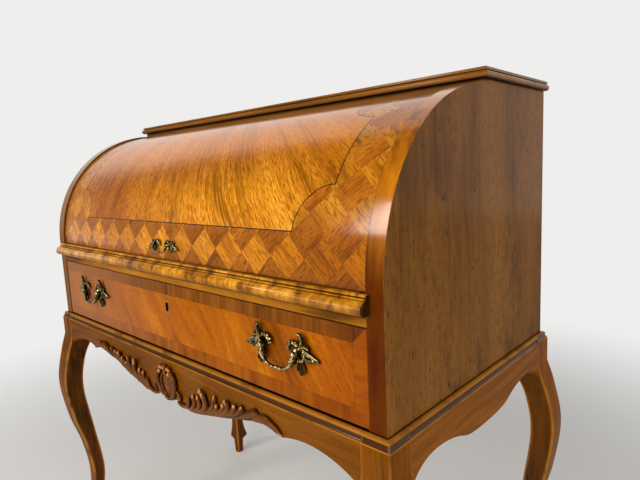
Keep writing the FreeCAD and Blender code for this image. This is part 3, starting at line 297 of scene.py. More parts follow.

# %% [markdown]
# ## Wood of the stand
# Legs and aprons share one moulded top edge: a bead over a hollow. The bead and the arrises are golden,
# partly from wear and partly as a painted highlight, and the hollow carries painted shade. Such marks could
# be painted on each mesh by hand. The moulding runs level all round, though, so height alone tells where it
# is. The corners of the legs are worn, their inner faces carry painted shade, and their meshes carry a value
# for both.

# %% Stand finishes
STAND_TONES = ((0.045, 0.012, 0.0), (0.188, 0.055, 0.001), (0.30, 0.092, 0.003))
STAND_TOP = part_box("apron_front")[1].z
PANEL_LO, PANEL_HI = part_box("side_panel_right")
CASE_HALF = PANEL_HI.x
CASE_FRONT = PANEL_LO.y
BEAD_H = 0.0045
HOLLOW_H = 0.0125
ARRIS_H = 0.0012
LEDGE_H = 0.0006
LEDGE_SHADOW_GAP = (0.0007, 0.0013)
WORN_AND_LIT_TONE = (0.46, 0.180, 0.018)
SHADE_TONE = (0.030, 0.010, 0.002)
SHADOW_GAP_TONE = (0.006, 0.003, 0.001)
APRON_TONES = ((0.036, 0.010, 0.0), (0.138, 0.041, 0.0), (0.21, 0.067, 0.002))
BEAD_WEAR_AND_LIGHT = 0.85
WORN_AND_LIT_SHARE = 0.8
HOLLOW_SHADE = 0.8
INNER_SHADE_SHARE = 0.5
INNER_SHADE_SPAN = (-0.1, -0.6)
PATCH_SCALE = 24.0
PATCHY = (0.25, 0.5)
STAND_COAT = 0.1
HOLLOW_COAT = 0.25


def stand_finish(name, tones, turn=(0, 0, 0)):
    """Wood of the stand with its worn places, its painted highlights and its painted shade.

    Smooth steps of the depth under the stand's top pick the bead, the hollow and the arris below it: the bead
    and the arris get wear with a painted highlight, the hollow painted shade. The wear-and-light value is
    over 0 on worn corners and under 0 on inner faces, which get painted shade. The ledge carries a painted
    shadow where the case stands on it.
    """
    material, tree, shader = new_finish(name)
    place = object_place(tree)
    colour, height = grain(tree, moved(tree, place, turn=turn), tones)
    x, y, z = axes_of(tree, place)
    ahead = less(tree, CASE_FRONT, y)
    aside = less(tree, calc(tree, "ABSOLUTE", x), CASE_HALF)
    under_case = smooth_step(tree, calc(tree, "MAXIMUM", ahead, aside), LEDGE_SHADOW_GAP[1], LEDGE_SHADOW_GAP[0])
    below = less(tree, STAND_TOP, z)
    bead = smooth_step(tree, below, BEAD_H, BEAD_H - ARRIS_H)
    above = smooth_step(tree, below, HOLLOW_H, HOLLOW_H - ARRIS_H)
    hollow = times(tree, less(tree, 1.0, bead), above)
    to_arris = calc(tree, "ABSOLUTE", less(tree, below, HOLLOW_H))
    arris = smooth_step(tree, to_arris, ARRIS_H, 0.2 * ARRIS_H)
    rubbed = wear_and_light_value(tree)
    # Wear and a painted highlight: the bead and the arris are golden
    worn_and_lit = calc(tree, "MAXIMUM", times(tree, bead, BEAD_WEAR_AND_LIGHT), calc(tree, "MAXIMUM", arris, rubbed))
    patchy = smooth_step(tree, noise(tree, place, PATCH_SCALE, 3.0), *PATCHY)
    # Painted shade on the inner faces of the legs
    inner_shade = times(tree, smooth_step(tree, rubbed, *INNER_SHADE_SPAN), INNER_SHADE_SHARE)
    # Painted shade in the hollow and on the inner faces
    painted_shade = calc(tree, "MAXIMUM", times(tree, hollow, HOLLOW_SHADE), inner_shade)
    colour = blend(tree, painted_shade, colour, SHADE_TONE)
    colour = blend(tree, times(tree, times(tree, worn_and_lit, patchy), WORN_AND_LIT_SHARE), colour, WORN_AND_LIT_TONE)
    # Painted shadow on the ledge where the case stands on it
    ledge_shadow = times(tree, smooth_step(tree, below, LEDGE_H, 0.5 * LEDGE_H), under_case)
    colour = blend(tree, ledge_shadow, colour, SHADOW_GAP_TONE)
    coat = calc(tree, "MULTIPLY_ADD", hollow, HOLLOW_COAT, STAND_COAT)
    polish(tree, shader, colour, height, coat=coat)
    return material


stand_upright = stand_finish("stand_walnut_upright", STAND_TONES)
stand_level = stand_finish("stand_walnut_level", APRON_TONES, ALONG_X)
stand_deep = stand_finish("stand_walnut_deep", STAND_TONES, ALONG_Y)
print("stand top at", round(STAND_TOP, 4))

# %% [markdown]
# ## Floor and light
# A plain pale floor and soft studio light. A panorama could light the scene, but lamps of known size and
# place are easier to steer. One tall lamp stands high in front on the left, where its reflection falls on the
# round edge of the case. A broad one fills the front, and a third the right side. The pale surroundings are
# seen by the camera and by polished surfaces alike, and the floor fades into them. Reflections find them
# brightest behind the desk, so that its top gleams, and dimmer in front, so that its front keeps its colour.

# %% Floor
FLOOR_TONE = (0.84, 0.83, 0.81)
FLOOR_FADE = (0.9, 2.4)
FLOOR_REACH = 8.0
FLOOR_ROUGH = 0.7
SPECKLE_SCALE = 2.0
SPECKLE = 1.04
WHITE = (1.0, 0.995, 0.985)
SEEN_LEVEL = 0.86


def floor_finish():
    """Pale ground: lit as it is near the desk, and fading into the white surroundings further out."""
    material, tree, shader = new_finish("floor_pale")
    place = object_place(tree)
    speckle = noise(tree, place, SPECKLE_SCALE, 3.0)
    lighter = tuple(v * SPECKLE for v in FLOOR_TONE)
    feed(tree, shader.inputs["Base Color"], blend(tree, speckle, FLOOR_TONE, lighter))
    shader.inputs["Roughness"].default_value = FLOOR_ROUGH
    reach = put(tree, "VectorMath", {0: place}, operation="LENGTH").outputs["Value"]
    seen = put(tree, "LightPath").outputs["Is Camera Ray"]
    away = times(tree, seen, smooth_step(tree, reach, *FLOOR_FADE))
    glow = put(tree, "Emission", {"Color": WHITE, "Strength": SEEN_LEVEL})
    mixed = put(tree, "MixShader", {0: away, 1: shader.outputs[0], 2: glow.outputs[0]})
    feed(tree, tree.nodes["Material Output"].inputs["Surface"], mixed.outputs[0])
    return material


ends = (-FLOOR_REACH, FLOOR_REACH)
corners = [(ends[0], ends[0], 0), (ends[1], ends[0], 0), (ends[1], ends[1], 0), (ends[0], ends[1], 0)]
floor_mesh = bpy.data.meshes.new("floor")
floor_mesh.from_pydata(corners, [], [(0, 1, 2, 3)])
floor_mesh.materials.append(floor_finish())
floor = bpy.data.objects.new("floor", floor_mesh)
scene.collection.objects.link(floor)
print("floor", 2 * FLOOR_REACH, "m square")

# %% Surroundings
AMBIENT = 0.4
REAR_LEVEL = 1.3
DIM_FRONT = 0.26
DARK_FRONT = 0.05
DARK_EDGE = (0.42, 0.2)
REAR_TILT = -0.7
REAR_EDGE = (-0.47, -0.3)


def surroundings():
    """White where the camera or a reflection sees it, and softer as light on the desk.

    A reflection sees the rear at full white, and the front dimmer and dark high up. The rear is where the Y
    of the line of sight, less a share of its Z, is above the rear's edge.
    """
    world = bpy.data.worlds.new("studio")
    scene.world = world
    world.use_nodes = True
    tree = world.node_tree
    path = put(tree, "LightPath").outputs
    _, y, z = axes_of(tree, put(tree, "TexCoord").outputs["Generated"])
    rear = smooth_step(tree, calc(tree, "MULTIPLY_ADD", z, REAR_TILT, y), *REAR_EDGE)
    fore = calc(tree, "MULTIPLY_ADD", smooth_step(tree, z, *DARK_EDGE), DIM_FRONT - DARK_FRONT, DARK_FRONT)
    bright = calc(tree, "MULTIPLY_ADD", less(tree, REAR_LEVEL, fore), rear, fore)
    gleam = less(tree, bright, AMBIENT)
    mirrored = calc(tree, "MAXIMUM", path["Is Glossy Ray"], path["Is Transmission Ray"])
    straight = calc(tree, "MULTIPLY_ADD", path["Is Camera Ray"], SEEN_LEVEL - AMBIENT, AMBIENT)
    strength = calc(tree, "MULTIPLY_ADD", mirrored, gleam, straight)
    feed(tree, tree.nodes["Background"].inputs["Color"], WHITE)
    feed(tree, tree.nodes["Background"].inputs["Strength"], strength)


surroundings()
scene.view_settings.view_transform = "Standard"
print("surroundings", scene.world.name)

# %% Lamps
def soft_lamp(name, place, target, width, height, power, tone=(1.0, 0.97, 0.93)):
    """A rectangular lamp at a place, facing a target."""
    lamp = bpy.data.objects.new(name, bpy.data.lights.new(name, "AREA"))
    lamp.data.shape = "RECTANGLE"
    lamp.data.size = width
    lamp.data.size_y = height
    lamp.data.energy = power
    lamp.data.color = tone
    lamp.location = place
    lamp.rotation_mode = "QUATERNION"
    lamp.rotation_quaternion = (Vector(target) - Vector(place)).to_track_quat("-Z", "Y")
    scene.collection.objects.link(lamp)


soft_lamp("window_left", (-0.96, -2.05, 1.98), (0.1, 0.0, 0.8), 0.34, 0.84, 16.0)
soft_lamp("front_fill", (0.35, -2.75, 1.2), (0.0, 0.0, 0.75), 2.2, 1.3, 48.0)
soft_lamp("right_fill", (2.7, -0.5, 1.4), (0.4, 0.0, 0.6), 1.6, 1.6, 16.0)
print(len(bpy.data.lights), "lamps")

# %% [markdown]
# ## Case sides
# The sides are wide boards with upright grain, duller than the front, with dark flecks and small dents. Their
# round front edge is faced with a strip of brighter veneer, dark low down beside the drawer. A second finish
# on the edge's faces could show that, but the CAD mesh stays as it is. The edge is everything between the two
# flat faces of the board, so the distance from the middle of the desk tells them apart.

# %% Case side finish
FRONT_LO, FRONT_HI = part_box("drawer_front")
FACE_SKIN = 0.0004
EDGE_TONES = ((0.16, 0.044, 0.0), (0.44, 0.135, 0.001), (0.60, 0.21, 0.004))
EDGE_SLANT = (radians(12), 0, 0)
LOW_EDGE_TONE = (0.052, 0.0045, 0.0)
LOW_EDGE_SHARE = 0.88
LOW_EDGE = (0.785, 0.885)
LEFT_EDGE_SHEEN_TONE = (0.19, 0.078, 0.022)
LEFT_EDGE_SHEEN_SHARE = 0.8
FOOT_SHADOW_GAP = (0.0024, 0.0008)
FOOT_SHADOW_SHARE = 0.85
LEFT_SHADOW_GAP = (0.0032, 0.0022)
MOTTLE_TONE = (0.080, 0.031, 0.006)
DENT_TONE = (0.025, 0.010, 0.004)
BOARD_COAT = 0.12
EDGE_COAT = 0.03
HIGH_EDGE_COAT = 0.7
# Each mark: stretch, scale, detail, roughness, where it starts and is full, share and tone
AGE_MARKS = (
    (0.5, 17.0, 6.0, 0.72, (0.5, 0.7), 0.85, MOTTLE_TONE),
    (0.6, 90.0, 4.0, 0.7, (0.52, 0.66), 0.4, MOTTLE_TONE),
    (0.5, 120.0, 1.0, 0.5, (0.71, 0.76), 0.8, DENT_TONE),
)


def side_finish():
    """Aged board on the flat faces and a strip of veneer between them.

    Each age mark is a noise, drawn out upwards, that darkens the board where a smooth step of it is high. The
    strip darkens downwards by a smooth step of the height, and on the left it is paler and greyer, a painted
    sheen. Painted shadow lines lie along the board's foot and, on the left, beside the drawer.
    """
    material, tree, shader = new_finish("case_walnut_side")
    place = object_place(tree)
    board, height = grain(tree, place, CASE_TONES, clouds=6.0, streaks=150.0, pores=330.0, pored=0.4,
                          figure=0.2, dash=0.2)
    for stretch, scale, detail, rough, span, share, tone in AGE_MARKS:
        mark = noise(tree, moved(tree, place, (1, 1, stretch)), scale, detail, rough)
        board = blend(tree, times(tree, smooth_step(tree, mark, *span), share), board, tone)
    strip, _ = grain(tree, moved(tree, place, turn=EDGE_SLANT), EDGE_TONES, clouds=26.0, figure=0.25)
    x, y, z = axes_of(tree, place)
    low = smooth_step(tree, z, LOW_EDGE[1], LOW_EDGE[0])
    on_left = calc(tree, "LESS_THAN", x, 0.0)
    strip = blend(tree, times(tree, low, LOW_EDGE_SHARE), strip, LOW_EDGE_TONE)
    # Painted sheen: the left strip is paler and greyer
    strip = blend(tree, times(tree, on_left, LEFT_EDGE_SHEEN_SHARE), strip, LEFT_EDGE_SHEEN_TONE)
    off_middle = calc(tree, "ABSOLUTE", x)
    below_face = calc(tree, "LESS_THAN", off_middle, PANEL_HI.x - FACE_SKIN)
    above_back = calc(tree, "GREATER_THAN", off_middle, PANEL_LO.x + FACE_SKIN)
    before_rear = calc(tree, "LESS_THAN", y, PANEL_HI.y - FACE_SKIN)
    is_edge = times(tree, before_rear, times(tree, below_face, above_back))
    colour = blend(tree, is_edge, board, strip)
    # Painted shadow along the board's foot
    foot = smooth_step(tree, less(tree, z, PANEL_LO.z), *FOOT_SHADOW_GAP)
    colour = blend(tree, times(tree, foot, FOOT_SHADOW_SHARE), colour, SHADOW_GAP_TONE)
    # Painted shadow in the gap beside the drawer, on the left strip
    beside = smooth_step(tree, less(tree, off_middle, PANEL_LO.x), *LEFT_SHADOW_GAP)
    beside = times(tree, times(tree, beside, on_left), calc(tree, "LESS_THAN", z, FRONT_HI.z))
    colour = blend(tree, times(tree, beside, is_edge), colour, SHADOW_GAP_TONE)
    high_edge = times(tree, is_edge, less(tree, 1.0, low))
    plain = calc(tree, "MULTIPLY_ADD", is_edge, EDGE_COAT - BOARD_COAT, BOARD_COAT)
    gloss = calc(tree, "MULTIPLY_ADD", high_edge, HIGH_EDGE_COAT, plain)
    polish(tree, shader, colour, height, rough=0.4, coat=gloss)
    return material


case_side = side_finish()
print("case sides from x", round(PANEL_LO.x, 4), "to", round(PANEL_HI.x, 4))

# %% [markdown]
# ## Veneered drawer front
# The front is laid with a field of honey veneer whose grain runs aslant, framed by a crossbanded border:
# strips whose grain stands square to the edge, mitred at the corners. Each strip could be a thin board of its
# own, but veneer lies flush, so a pattern on the CAD piece shows it better. Which strip a point belongs to
# follows from whether it is nearer to the top and bottom or to the ends. The left end carries a paler painted
# sheen, the right end painted shade, and painted shadow lines lie along the rim and the left end.

# %% Drawer front finish
BAND_W = 0.022
JOINT_W = 0.0005
RIM_SHADOW_GAP = (0.0010, 0.0006)
HONEY_TONES = ((0.17, 0.040, 0.0), (0.345, 0.088, 0.0), (0.50, 0.152, 0.001))
TOP_BAND_TONES = ((0.08, 0.022, 0.001), (0.165, 0.047, 0.002), (0.25, 0.080, 0.005))
LOW_BAND_TONES = ((0.15, 0.034, 0.0), (0.25, 0.062, 0.0), (0.34, 0.096, 0.001))
END_BAND_TONES = ((0.16, 0.037, 0.0), (0.29, 0.073, 0.0), (0.39, 0.112, 0.001))
FIELD_SLANT = (0, radians(32), 0)
SHADED_END = (0.26, 0.46)
SHADED_TINT = (0.84, 0.70, 0.5)
SHEEN_END = (0.10, -0.42)
SHEEN_TONE = (0.29, 0.118, 0.05)
SHEEN_SHARE = 0.72
JOINT_TONE = (0.06, 0.018, 0.003)
JOINT_SHARE = 0.45


def front_finish():
    """Field, border and joint lines picked by the distance to the nearest edge.

    Smooth steps of the place across paint a paler sheen on the left end and shade on the right one. Painted
    shadow lines run along the top, the bottom and the left end.
    """
    material, tree, shader = new_finish("drawer_front_veneer")
    place = object_place(tree)
    x, y, z = axes_of(tree, place)
    centre = (FRONT_LO + FRONT_HI) / 2
    half = (FRONT_HI - FRONT_LO) / 2
    to_end = less(tree, half.x, calc(tree, "ABSOLUTE", x))
    to_rim = less(tree, half.z, calc(tree, "ABSOLUTE", less(tree, z, centre.z)))
    inset = calc(tree, "MINIMUM", to_end, to_rim)
    field, height = grain(tree, moved(tree, place, turn=FIELD_SLANT), HONEY_TONES, clouds=9.0, wander=0.06,
                          pores=420.0, pored=0.5, figure=0.35, dash=0.2)
    banded = {"clouds": 30.0, "streaks": 110.0}
    upper, _ = grain(tree, place, TOP_BAND_TONES, **banded)
    lower, _ = grain(tree, place, LOW_BAND_TONES, **banded)
    level, _ = grain(tree, moved(tree, place, turn=ALONG_X), END_BAND_TONES, **banded)
    border = blend(tree, calc(tree, "GREATER_THAN", z, centre.z), lower, upper)
    border = blend(tree, calc(tree, "LESS_THAN", to_end, to_rim), border, level)
    colour = blend(tree, calc(tree, "LESS_THAN", inset, BAND_W), field, border)
    line = calc(tree, "LESS_THAN", calc(tree, "ABSOLUTE", less(tree, inset, BAND_W)), JOINT_W)
    colour = blend(tree, times(tree, line, JOINT_SHARE), colour, JOINT_TONE)
    # Painted sheen: the left end is paler and greyer
    colour = blend(tree, times(tree, smooth_step(tree, x, *SHEEN_END), SHEEN_SHARE), colour, SHEEN_TONE)
    # Painted shadow lines along the top, the bottom and the left end of the front
    at_front = smooth_step(tree, less(tree, y, FRONT_LO.y), *RIM_SHADOW_GAP)
    at_left = smooth_step(tree, less(tree, x, FRONT_LO.x), *LEFT_SHADOW_GAP)
    at_rim = calc(tree, "MAXIMUM", at_left, smooth_step(tree, to_rim, *RIM_SHADOW_GAP))
    colour = blend(tree, times(tree, at_front, at_rim), colour, SHADOW_GAP_TONE)
    colour = blend(tree, smooth_step(tree, x, *SHADED_END), colour, SHADED_TINT, "MULTIPLY")
    polish(tree, shader, colour, height, coat=0.1)
    return material


drawer_veneer = front_finish()
print("drawer front", [round(v, 4) for v in FRONT_HI - FRONT_LO])

# %% [markdown]
# ## Parquetry of the lid
# The cylinder carries a field of figured veneer inside a dark string line with scooped corners, and a border
# of squares set on their corners, light and dark by turns like a chessboard. Hundreds of small tiles could be
# cut and laid, but they would be flush, so the pattern is worked out instead. It lives on the unrolled
# surface: one axis runs across the desk, the other is the distance round the cylinder, which is its radius
# times the angle. Two slanted axes then count the squares. The veneer carries a paler patch of painted light
# low on the lid and a painted sheen along the top, and its lower right corner carries painted shade.

# %% String line of the lid
LID_JOINT = next(joint for joint in frame["joints"] if joint["name"] == "lid_turn")
AXIS_Y, AXIS_Z = LID_JOINT["pos_m"][1:]
LID_LO, LID_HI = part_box("lid_shell")
LID_R = AXIS_Y - LID_LO.y
STRING_SIDE = 0.3985
STRING_LOW = 0.0635
STRING_TOP = 0.331
SCOOP = (0.0625, 0.0685)
STRING_W = 0.0009
STRING_TONE = (0.035, 0.014, 0.006)


def string_distance(tree, x, s):
    """Signed distance to the string line: a rectangle with an ellipse bitten out of each corner."""
    middle = (STRING_LOW + STRING_TOP) / 2
    side = less(tree, calc(tree, "ABSOLUTE", x), STRING_SIDE)
    rise = less(tree, calc(tree, "ABSOLUTE", less(tree, s, middle)), STRING_TOP - middle)
    frame_gap = calc(tree, "MAXIMUM", side, rise)
    across = calc(tree, "POWER", calc(tree, "DIVIDE", side, SCOOP[0]), 2.0)
    up = calc(tree, "POWER", calc(tree, "DIVIDE", rise, SCOOP[1]), 2.0)
    round_gap = less(tree, 1.0, calc(tree, "SQRT", plus(tree, across, up)))
    bite = times(tree, round_gap, sum(SCOOP) / 2)
    return calc(tree, "MAXIMUM", frame_gap, bite)


print("lid radius", round(LID_R, 4), "about y", AXIS_Y, "z", AXIS_Z)

# %% Figured field of the lid
FIELD_TONES = ((0.17, 0.044, 0.0), (0.50, 0.158, 0.003), (0.66, 0.24, 0.008))
FAN_MIDDLE = -0.25
FAN_CLOSE = 1.6
LIT_PATCH_PLACE = (0.17, 0.085)
LIT_PATCH_REACH = (0.29, 0.115)
LIT_PATCH_EDGE = (1.3, 0.1)
LIT_PATCH_TINT = (1.5, 1.78, 3.4)
OFF_LIT_PATCH_TINT = (0.82, 0.74, 0.5)
TOP_SHEEN_SPAN = (0.15, 0.25)
TOP_SHEEN_TINT = (1.3, 1.2, 0.8)
TOP_SHEEN_TONE = (0.60, 0.205, 0.008)
TOP_SHEEN_SHARE = 0.5


def fanned(tree, x, s):
    """Figured veneer: straight grain lines that draw together upwards, towards a point above the lid.

    A line keeps the place where it leaves the string line: its distance from the middle there is the
    distance now, divided by what is left of one after the closing rate times the height.
    """
    left = calc(tree, "MULTIPLY_ADD", s, -FAN_CLOSE, 1.0 + FAN_CLOSE * STRING_LOW)
    foot = calc(tree, "DIVIDE", less(tree, x, FAN_MIDDLE), left)
    return joined(tree, foot, 0.0, s)


def lit_and_sheened(tree, x, s, field):
    """Painted light on the veneer: a paler soft oval low on the lid, and a painted sheen along the top.

    The oval is where the distance from its middle, counted in its reach, is small.
    """
    across = calc(tree, "DIVIDE", less(tree, x, LIT_PATCH_PLACE[0]), LIT_PATCH_REACH[0])
    up = calc(tree, "DIVIDE", less(tree, s, LIT_PATCH_PLACE[1]), LIT_PATCH_REACH[1])
    away = put(tree, "VectorMath", {0: joined(tree, across, up, 0.0)}, operation="LENGTH").outputs["Value"]
    # Painted light: a paler patch low on the lid
    tint = blend(tree, smooth_step(tree, away, *LIT_PATCH_EDGE), OFF_LIT_PATCH_TINT, LIT_PATCH_TINT)
    # Painted sheen along the top of the lid
    top_sheen = smooth_step(tree, s, *TOP_SHEEN_SPAN)
    # The grain toned by the painted light and sheen
    figured = blend(tree, 1.0, field, blend(tree, top_sheen, tint, TOP_SHEEN_TINT), "MULTIPLY")
    return blend(tree, times(tree, top_sheen, TOP_SHEEN_SHARE), figured, TOP_SHEEN_TONE)


def lid_field(tree, x, s):
    """The field's colour and height: fanned grain, with its painted light and sheen."""
    field, height = grain(tree, fanned(tree, x, s), FIELD_TONES, clouds=14.0, streaks=170.0, pores=580.0,
                          wander=0.035, pored=0.8, figure=0.45, dash=0.16, pits=(0.52, 0.38))
    return lit_and_sheened(tree, x, s, field), height


print("field between", STRING_LOW, "and", STRING_TOP, "round the lid")

# %% [markdown]
# ## Squares of the border
# Each square is a small sheet of its own, with its grain along one of its sides. A checker node could colour
# them, but it can't turn the grain. So the counts along the slanted axes are rounded to number the squares,
# and the number gives each one its own place in the wood and its own brightness.

# %% Squares of the lid
SQUARE_X = 0.068
SQUARE_S = 0.064
FIRST_COLUMN = -0.009
FIRST_ROW = 0.0265
SQUARE_GRAIN = 0.047
SQUARE_JUMP = 7.0
SQUARE_SEED = 0.3
OWN_VALUE = (0.26, 0.87)
LIGHT_TONES = ((0.27, 0.080, 0.002), (0.56, 0.195, 0.006), (0.72, 0.29, 0.016))
DUSK_TONES = ((0.15, 0.040, 0.001), (0.30, 0.088, 0.003), (0.39, 0.128, 0.007))
DASHED = {"clouds": 22.0, "streaks": 150.0, "pores": 560.0, "pored": 0.85, "dash": 0.15, "pits": (0.5, 0.36)}
CALM_SQUARES = (0.04, 0.09)
CALM_LIFT = (0.55, -0.17)
DIM_CORNER = ((0.26, 0.42), (0.11, 0.04))
DIM_TINT = (0.72, 0.58, 0.25)
DUSK_SPARED = 0.6


def slanted(tree, along, across, jump):
    """Grain along one slanted axis of a square, which jumps to a place of its own in the wood."""
    aside = calc(tree, "MULTIPLY_ADD", across, SQUARE_GRAIN, jump)
    return joined(tree, aside, jump, times(tree, along, SQUARE_GRAIN))


def lid_squares(tree, x, s):
    """Light and dusky squares by turns.

    The sum and the difference of the counts across and up give two slanted axes, and rounding them numbers
    the squares. Each square has its own brightness. Up the sides the two kinds draw nearer in tone, a painted
    sheen, and the light ones carry painted shade in the lower right corner.
    """
    across = calc(tree, "DIVIDE", less(tree, x, FIRST_COLUMN), SQUARE_X)
    up = calc(tree, "DIVIDE", less(tree, s, FIRST_ROW), SQUARE_S)
    rising = plus(tree, across, up)
    falling = less(tree, across, up)
    row = calc(tree, "ROUND", rising)
    column = calc(tree, "ROUND", falling)
    dusk = calc(tree, "PINGPONG", plus(tree, row, column), 1.0)
    own = put(tree, "TexWhiteNoise", {"Vector": joined(tree, row, column, SQUARE_SEED)}).outputs["Value"]
    jump = times(tree, own, SQUARE_JUMP)
    light, _ = grain(tree, slanted(tree, falling, rising, jump), LIGHT_TONES, **DASHED)
    dark, _ = grain(tree, slanted(tree, rising, falling, jump), DUSK_TONES, **DASHED)
    squares = blend(tree, dusk, light, dark)
    # Painted sheen: up the sides the dusky squares are lifted nearer the light ones
    calm = smooth_step(tree, s, *CALM_SQUARES)
    nearer = times(tree, calm, calc(tree, "MULTIPLY_ADD", dusk, *CALM_LIFT))
    value = plus(tree, nearer, calc(tree, "MULTIPLY_ADD", own, *OWN_VALUE))
    tint = put(tree, "HueSaturation", {"Color": squares, "Value": value}).outputs[0]
    # Painted shade: the light squares darken in the lower right corner
    low = smooth_step(tree, s, *DIM_CORNER[1])
    corner = times(tree, smooth_step(tree, x, *DIM_CORNER[0]), low)
    dimmed = times(tree, corner, calc(tree, "MULTIPLY_ADD", dusk, -DUSK_SPARED, 1.0))
    return blend(tree, dimmed, tint, DIM_TINT, "MULTIPLY")


print("squares of", SQUARE_X, "by", SQUARE_S, "m between corners")

# %% Lid finish
def lid_finish():
    """Squares outside the string line, the field inside it and the line itself, on the unrolled surface."""
    material, tree, shader = new_finish("lid_parquetry")
    x, y, z = axes_of(tree, object_place(tree))
    turn = calc(tree, "ARCTAN2", less(tree, z, AXIS_Z), less(tree, AXIS_Y, y))
    s = times(tree, turn, LID_R)
    field, height = lid_field(tree, x, s)
    gap = string_distance(tree, x, s)
    colour = blend(tree, calc(tree, "LESS_THAN", gap, 0.0), lid_squares(tree, x, s), field)
    line = calc(tree, "LESS_THAN", calc(tree, "ABSOLUTE", gap), STRING_W)
    colour = blend(tree, line, colour, STRING_TONE)
    polish(tree, shader, colour, height, rough=0.33, coat=0.55, coat_rough=0.13)
    return material


lid_veneer = lid_finish()
print(len(lid_veneer.node_tree.nodes), "nodes in the lid's finish")

# %% [markdown]
# ## Moulding, rails and top
# The slide's moulding is faced with cross-grained figured veneer: its grain stands upright and its tone
# changes in patches along the length, and it carries painted shade in its grooves and under its round. The
# rails are level boards with a painted shadow along their tops. The top board carries a painted highlight on
# its nose and painted shade in its quirk. That light and shade could be brushed on, but it follows the
# profile, so the pieces carry a value for wear and painted light on their points, and the finish reads it.

# %% Moulding finish
MOULD_TONES = ((0.13, 0.040, 0.001), (0.46, 0.165, 0.003), (0.80, 0.36, 0.02))
FIGURE_DRAW = (1, 0.5, 0.5)
FIGURE_NOISE = (46.0, 4.0, 0.66)
FIGURE_SPAN = (0.5, 0.62)
FIGURED = (-0.35, 0.05)
FIGURE_SHARE = (0.75, 0.1)
UNDERCUT_SHADE = (0.9, 0.3)
UNDERCUT_SHADE_SHARE = 0.6
SUNK_SHADE = (0.3, 0.05)
SUNK_SHADE_SHARE = 0.85


def moulding_finish():
    """Upright grain with dark patches that fade to the left, and painted shade where the wear-and-light value
    is
    low: in the grooves, under the round and on the ends.
    """
    material, tree, shader = new_finish("moulding_veneer")
    place = object_place(tree)
    cross, height = grain(tree, place, MOULD_TONES, clouds=34.0, streaks=120.0, wander=0.03)
    patch = noise(tree, moved(tree, place, FIGURE_DRAW), *FIGURE_NOISE)
    x = axes_of(tree, place)[0]
    strong = calc(tree, "MULTIPLY_ADD", smooth_step(tree, x, *FIGURED), *FIGURE_SHARE)
    figured = times(tree, smooth_step(tree, patch, *FIGURE_SPAN), strong)
    colour = blend(tree, figured, cross, MOULD_TONES[0])
    rubbed = wear_and_light_value(tree)
    # Painted shade under the round, and near black in the grooves and on the end faces
    shaded = times(tree, smooth_step(tree, rubbed, *UNDERCUT_SHADE), UNDERCUT_SHADE_SHARE)
    sunk_shade = times(tree, smooth_step(tree, rubbed, *SUNK_SHADE), SUNK_SHADE_SHARE)
    colour = blend(tree, shaded, colour, MOULD_TONES[0])
    colour = blend(tree, sunk_shade, colour, SHADOW_GAP_TONE)
    polish(tree, shader, colour, height, rough=0.3, coat=0.35, coat_rough=0.08)
    return material


moulding_veneer = moulding_finish()
print("figure grows from x", FIGURED[0], "to", FIGURED[1])

# %% Rail and top finishes
RAIL_TONES = ((0.10, 0.032, 0.001), (0.33, 0.118, 0.004), (0.50, 0.21, 0.014))
NOSE_TONES = ((0.08, 0.026, 0.002), (0.24, 0.084, 0.006), (0.36, 0.138, 0.014))
RAIL_SHADE = 0.009
FRIEZE_SHADE = 0.006
TOP_SHADOW_SHARE = 0.9
LIT_NOSE = (0.55, 0.95)
DARK_QUIRK = (0.45, 0.05)


def rail_finish(name, tones, node, shade):
    """Wood laid level on a rail, with a painted shadow that darkens it by a smooth step towards its top."""
    material, tree, shader = new_finish(name)
    place = object_place(tree)
    colour, height = grain(tree, moved(tree, place, turn=ALONG_X), tones, clouds=16.0)
    below = less(tree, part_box(node)[1].z, axes_of(tree, place)[2])
    # Painted shadow along the rail's top, under the moulding or the top board
    top_shadow = times(tree, smooth_step(tree, below, shade, 0.0), TOP_SHADOW_SHARE)
    colour = blend(tree, top_shadow, colour, SHADE_TONE)
    polish(tree, shader, colour, height, rough=0.3, coat=0.12)
    return material


def top_finish():
    """The moulded top: by the wear-and-light value, a painted highlight on the nose, plain board, and painted
    shade in the quirk.
    """
    material, tree, shader = new_finish("case_walnut_top")
    place = object_place(tree)
    board, height = grain(tree, moved(tree, place, turn=ALONG_X), CASE_TONES)
    nose, _ = grain(tree, moved(tree, place, turn=ALONG_X), NOSE_TONES, clouds=12.0)
    rubbed = wear_and_light_value(tree)
    # Painted highlight on the nose, painted shade under it and in the quirk
    colour = blend(tree, smooth_step(tree, rubbed, *LIT_NOSE), board, nose)
    colour = blend(tree, smooth_step(tree, rubbed, *DARK_QUIRK), colour, SHADOW_GAP_TONE)
    polish(tree, shader, colour, height, coat=0.3)
    return material


rail_veneer = rail_finish("rail_veneer", RAIL_TONES, "drawer_rail", RAIL_SHADE)
frieze_walnut = rail_finish("frieze_walnut", CASE_TONES, "frieze_rail", FRIEZE_SHADE)
top_walnut = top_finish()
print(len(bpy.data.materials), "finishes")

# %% [markdown]
# ## Brass, steel and iron
# The cast brass is old: bright on its crests, partly from wear and partly as a painted highlight, and brown
# in the hollows, partly from patina and partly as painted shade. A pointiness node could find crests and
# hollows, but each cast piece brings its own value for wear and painted light instead. The pins and the bolt
# are plain steel, the lock is iron made near black as painted shade behind the keyhole, and the keyhole has a
# thin brass liner with painted glints at its ends.

# %% Brass finishes
BRASS_TONES = ((0.009, 0.005, 0.001), (0.10, 0.064, 0.014), (0.66, 0.52, 0.24))
BROWNED = (0.3, 0.75)
BRIGHT = (0.8, 1.15)
SMOOTHED = (0.3, 1.1)
BRASS_ROUGH = (-0.24, 0.46)
SPOT_NOISE = (260.0, 3.0, 0.65)
SPOT_SHARE = 0.9
SPOT_RELIEF = 0.4
SPOT_DEPTH = 0.0003
TURNED_SCALE = 40.0
TURNED_WEAR = 0.35


